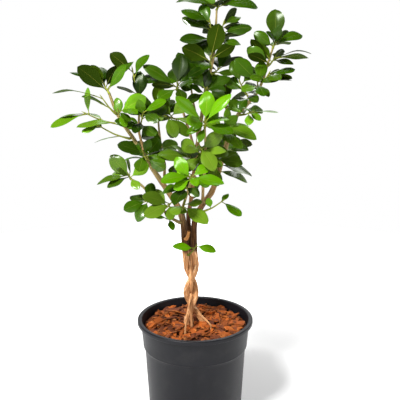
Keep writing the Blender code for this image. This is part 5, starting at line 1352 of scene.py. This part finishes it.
class PLANT_OT_chips(bpy.types.Operator):
    """Heaps bark chips on a rough bed"""
    bl_idname = "plant.chips"
    bl_label = "Bark chips"

    def execute(self, context):
        sizes = context.scene.plant_sizes
        low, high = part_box("bark_mulch")
        bed_radius = (high[0] - low[0]) / 2
        chance = random.Random(11)
        start()
        bpy.ops.mesh.primitive_circle_add(
            vertices=72, radius=bed_radius, fill_type="NGON", location=(0, 0, low[2]))
        bed = context.object
        bpy.ops.object.transform_apply(location=True)
        bpy.ops.object.mode_set(mode="EDIT")
        bpy.ops.mesh.select_all(action="SELECT")
        bpy.ops.mesh.extrude_region_move(
            TRANSFORM_OT_translate={"value": (0, 0, MULCH_TOP - BED_DEPTH - low[2])})
        radii = [bed_radius * (1 - i / (BED_RINGS + 1)) for i in range(BED_RINGS + 1)]
        for r0, r1 in zip(radii, radii[1:]):
            bpy.ops.mesh.extrude_region_move(TRANSFORM_OT_translate={"value": (0, 0, 0)})
            bpy.ops.transform.resize(value=(r1 / r0, r1 / r0, 1.0))
        bpy.ops.mesh.select_all(action="SELECT")
        bpy.ops.mesh.normals_make_consistent(inside=False)
        bpy.ops.object.mode_set(mode="OBJECT")
        for spot in bed.data.vertices:
            if spot.co.z > low[2] + 0.001 and spot.co.xy.length < bed_radius - 0.001:
                spot.co.z += BED_HEAVE * noise.noise(spot.co * 130) + BED_CRUMB * noise.noise(spot.co * 420)
        set_vectors(bed.data, "grain", [spot.co for spot in bed.data.vertices])
        set_colours(bed.data, "chip", [(0.85, 0.15, 0.0)] * len(bed.data.vertices))
        blank = chip_blank()
        heap = [bed]
        for i in range(sizes.chips):
            splinter = i % 6 == 5
            long = sizes.chip_length * chance.uniform(0.45, 1.0) ** 1.2 * (1.35 if i % 5 == 0 else 1.0)
            wide = long * (chance.uniform(0.12, 0.24) if splinter else chance.uniform(0.45, 0.90))
            thick = min(wide, long * chance.uniform(0.10, 0.22))
            worn = chance.choice((0.0, 0.1, 0.25, 0.5, 0.8, 1.0))
            mesh = break_chip(blank, f"chip_{i}", (long, wide, thick), worn, chance)
            layer = i / sizes.chips
            far = (bed_radius - 0.42 * long - 0.001) * math.sqrt(chance.random())
            turn = chance.uniform(0, 2 * math.pi)
            spot = Vector((far * math.cos(turn), far * math.sin(turn), 0))
            if any((spot - foot).xy.length < STEM_ROOM for foot in CHIP_FREE):
                spot *= 0.0
                spot.x, spot.y = chance.uniform(0.03, 0.07), chance.uniform(-0.03, 0.03)
            heave = CHIP_HEAVE * noise.noise(Vector((spot.x, spot.y, 3.1)) * 60)
            spot.z = MULCH_TOP - BED_DEPTH + CHIP_LIFT + heave + layer * CHIP_DEPTH
            tilt = 0.24 + 0.22 * layer
            around = Matrix.Rotation(chance.uniform(0, 2 * math.pi), 4, "Z")
            lean = Matrix.Rotation(chance.gauss(0, tilt) * 0.8, 4, "X")
            lean = lean @ Matrix.Rotation(chance.gauss(0, tilt) * 0.6, 4, "Y")
            mesh.transform(Matrix.Translation(spot) @ around @ lean)
            for corner in mesh.vertices:
                out = corner.co.xy.length
                if out > bed_radius:
                    corner.co.x *= bed_radius / out
                    corner.co.y *= bed_radius / out
            chip = bpy.data.objects.new(mesh.name, mesh)
            context.scene.collection.objects.link(chip)
            heap.append(chip)
        discard(blank)
        heap = joined(heap, "bark_chip_heap")
        start()
        heap.select_set(True)
        context.view_layer.objects.active = heap
        bpy.ops.object.shade_smooth_by_angle(angle=math.radians(28))
        keep(heap, "bark_mulch", chip_finish(context.scene.plant_colours))
        return {"FINISHED"}


def stem_leaf_shadow(place):
    """Painted shadow of the leaves on the bark: none in the braid, dark brown above it under the leaves, fading to
    a quarter higher up.
    """
    rise = place.z + LEAF_SHADOW_RAGGED * noise.noise(place * 160)
    darkened = min(1.0, max(0.0, (rise - LEAF_SHADOW_FROM) / LEAF_SHADOW_EDGE))
    faded = min(1.0, max(0.0, (rise - LEAF_SHADOW_TO) / LEAF_SHADOW_FADE))
    return darkened * (1 - 0.75 * faded)


def stem_age(far, whole):
    return min(1.0, max(0.0, (far / whole - 0.45) / 0.3)) * 0.85


def rooted(route, base, flare):
    """A route carried back into the wood it grows from, and swollen where it leaves."""
    grown = [point.copy() for point in route]
    for point in grown:
        near = math.exp(-(point.xyz - route[0].xyz).length / 0.004)
        point.w *= 1 + flare * near
    return [Vector((*base, grown[0].w)), *grown]


class PLANT_OT_stems(bpy.types.Operator):
    """Lays the three braided stems along their routes"""
    bl_idname = "plant.stems"
    bl_label = "Stems"

    def execute(self, context):
        wood, _ = plan_wood()
        finish = bark_finish(context.scene.plant_colours)
        blank = rod_blank(STEM_SIDES, STEM_SECTIONS)
        relief = context.scene.plant_sizes.bark_relief
        for node in ("stem_left", "stem_middle", "stem_right"):
            rod = bend_rod(blank, node + "_bark", wood[node], relief, stem_leaf_shadow, stem_age)
            keep(rod, node, finish)
        discard(blank)
        return {"FINISHED"}


class PLANT_OT_branches(bpy.types.Operator):
    """Lays the side branches, the pruned stub and the aerial roots"""
    bl_idname = "plant.branches"
    bl_label = "Branches and roots"

    def execute(self, context):
        wood, _ = plan_wood()
        finish = bark_finish(context.scene.plant_colours)
        blank = rod_blank(BRANCH_SIDES, BRANCH_SECTIONS)
        relief = context.scene.plant_sizes.bark_relief
        for node, parent, height, _ in BRANCHES:
            base, _ = at_height(wood[parent], height * MM)
            route = rooted(wood[node], base.xyz, 0.35)
            stub = node == "pruned_stub"
            # The stub gets a fixed share of painted shadow; the branches get the leaves' painted shadow by height.
            painted_shadow = (lambda place: 0.3) if stub else stem_leaf_shadow
            age = (lambda far, whole: 0.0) if stub else (lambda far, whole: 0.35 + 0.6 * far / whole)
            rod = bend_rod(blank, node + "_bark", route, relief * 0.6, painted_shadow, age, 0.9 if stub else 0.0)
            keep(rod, node, finish)
        for node, parent, height, _ in ROOTS:
            base, _ = at_height(wood[parent], height * MM)
            route = rooted(wood[node], base.xyz, 0.5)
            rod = bend_rod(blank, node + "_bark", route, relief * 0.5, lambda place: 0.0, lambda far, whole: 0.0)
            keep(rod, node, finish)
        discard(blank)
        return {"FINISHED"}


class PLANT_OT_shoots(bpy.types.Operator):
    """Grows every twig with its leaves and its bud"""
    bl_idname = "plant.shoots"
    bl_label = "Shoots and leaves"

    def execute(self, context):
        wood, twigs = plan_wood()
        leaves = plan_leaves(wood, twigs)
        thickness = context.scene.plant_sizes.leaf_thickness
        finish = leaf_finish(context.scene.plant_colours)
        blade, stalk, rod = blade_blank(), rod_blank(5, 7), rod_blank(8, 12)
        for node, parent, height, _, rows in SHOOTS:
            chance = random.Random("looks of " + node)
            pieces = []
            base, _ = at_height(wood[parent], height * MM)
            route = rooted(twigs[node], base.xyz, 0.5)
            ahead = (route[-1] - route[-2]).xyz.normalized()
            bud = route[-1].xyz
            route += [Vector((*(bud + ahead * 0.002), 0.0011)), Vector((*(bud + ahead * 0.0045), 0.0007)),
                      Vector((*(bud + ahead * 0.0070), 0.0001))]
            looks = leaf_looks(node, bud, chance)
            mesh = rod.data.copy()
            frames = even_route(route, 12)
            for spot in mesh.vertices:
                centre, radius, _, side, other, _ = frames[round(spot.co.z)]
                spot.co = centre + (side * spot.co.x + other * spot.co.y) * radius
            dress(mesh, [(0.5, 0.5)] * len(mesh.vertices), looks, 1.0, lambda corner: -1.0)
            meshes = [mesh]
            for leaf in leaves[node]:
                looks = leaf_looks(node, leaf["foot"], chance)
                meshes.append(shape_blade(blade, leaf, looks, chance, thickness))
                meshes.append(shape_stalk(stalk, leaf, looks, thickness))
            for i, mesh in enumerate(meshes):
                piece = bpy.data.objects.new(f"{node}_piece_{i}", mesh)
                context.scene.collection.objects.link(piece)
                pieces.append(piece)
                mesh.materials.clear()
                mesh.shade_smooth()
            keep(joined(pieces, node.replace("shoot", "leafy_shoot")), node, finish)
        discard(blade, stalk, rod)
        return {"FINISHED"}


class PLANT_OT_stage(bpy.types.Operator):
    """Sets the floor, the studio light and the camera"""
    bl_idname = "plant.stage"
    bl_label = "Stage"

    def execute(self, context):
        scene = context.scene
        start()
        bpy.ops.mesh.primitive_circle_add(vertices=96, radius=FLOOR_RADIUS, fill_type="NGON", location=(0, 0, 0))
        floor = context.object
        floor.name = floor.data.name = "studio_floor"
        floor.data.materials.append(floor_finish())
        world = bpy.data.worlds.new("studio")
        scene.world = world
        world.use_nodes = True
        tree = world.node_tree
        background = tree.nodes["Background"]
        place = tree.nodes.new("ShaderNodeTexCoord")
        parts = tree.nodes.new("ShaderNodeSeparateXYZ")
        ramp = tree.nodes.new("ShaderNodeMapRange")
        ramp.interpolation_type = "SMOOTHSTEP"
        for socket, value in zip(ramp.inputs[1:5], (*BACKDROP_TOP, 1.0, 0.0)):
            socket.default_value = value
        tree.links.new(place.outputs["Generated"], parts.inputs[0])
        tree.links.new(parts.outputs[2], ramp.inputs[0])
        tree.links.new(ramp.outputs[0], background.inputs["Color"])
        background.inputs["Strength"].default_value = 1.0
        lights = (
            ("key", (-0.95, -1.35, 2.05), 0.5, 92.0),
            ("fill", (1.6, -1.2, 0.9), 1.2, 3.5),
            ("back", (0.3, 1.5, 2.0), 1.4, 30.0),
        )
        aim = Vector((0.0, 0.0, 0.36))
        for name, place, size, power in lights:
            lamp = bpy.data.lights.new(name, "AREA")
            lamp.shape = "SQUARE"
            lamp.size = size
            lamp.energy = power
            stand = bpy.data.objects.new(name, lamp)
            scene.collection.objects.link(stand)
            stand.location = place
            stand.rotation_euler = (aim - Vector(place)).to_track_quat("-Z", "Y").to_euler()
        lens = bpy.data.cameras.new("camera")
        camera = bpy.data.objects.new("camera", lens)
        scene.collection.objects.link(camera)
        lens.sensor_width = 36.0
        lens.lens = CAMERA_LENS
        camera.location = CAMERA_PLACE
        camera.rotation_euler = (math.radians(CAMERA_PITCH), 0.0, 0.0)
        scene.camera = camera
        scene.view_settings.view_transform = "Standard"
        scene.view_settings.look = "None"
        return {"FINISHED"}


class PLANT_PT_panel(bpy.types.Panel):
    """The plant's pieces, sizes and colours"""
    bl_idname = "PLANT_PT_panel"
    bl_label = "Potted rubber plant"
    bl_space_type = "VIEW_3D"
    bl_region_type = "UI"
    bl_category = "Plant"

    def draw(self, context):
        for group in (context.scene.plant_sizes, context.scene.plant_colours):
            for name in group.__annotations__:
                self.layout.prop(group, name)
        for operator in OPERATORS:
            self.layout.operator(operator.bl_idname)


OPERATORS = (
    PLANT_OT_pot, PLANT_OT_soil, PLANT_OT_chips, PLANT_OT_stems, PLANT_OT_branches, PLANT_OT_shoots,
    PLANT_OT_stage,
)
CLASSES = (PlantSizes, PlantColours, *OPERATORS, PLANT_PT_panel)


def register():
    for cls in CLASSES:
        bpy.utils.register_class(cls)
    bpy.types.Scene.plant_sizes = PointerProperty(type=PlantSizes)
    bpy.types.Scene.plant_colours = PointerProperty(type=PlantColours)


def unregister():
    del bpy.types.Scene.plant_sizes
    del bpy.types.Scene.plant_colours
    for cls in reversed(CLASSES):
        bpy.utils.unregister_class(cls)


def main():
    register()
    bpy.ops.plant.pot()
    bpy.ops.plant.soil()
    bpy.ops.plant.chips()
    bpy.ops.plant.stems()
    bpy.ops.plant.branches()
    bpy.ops.plant.shoots()
    bpy.ops.plant.stage()


if __name__ == "__main__":
    main()
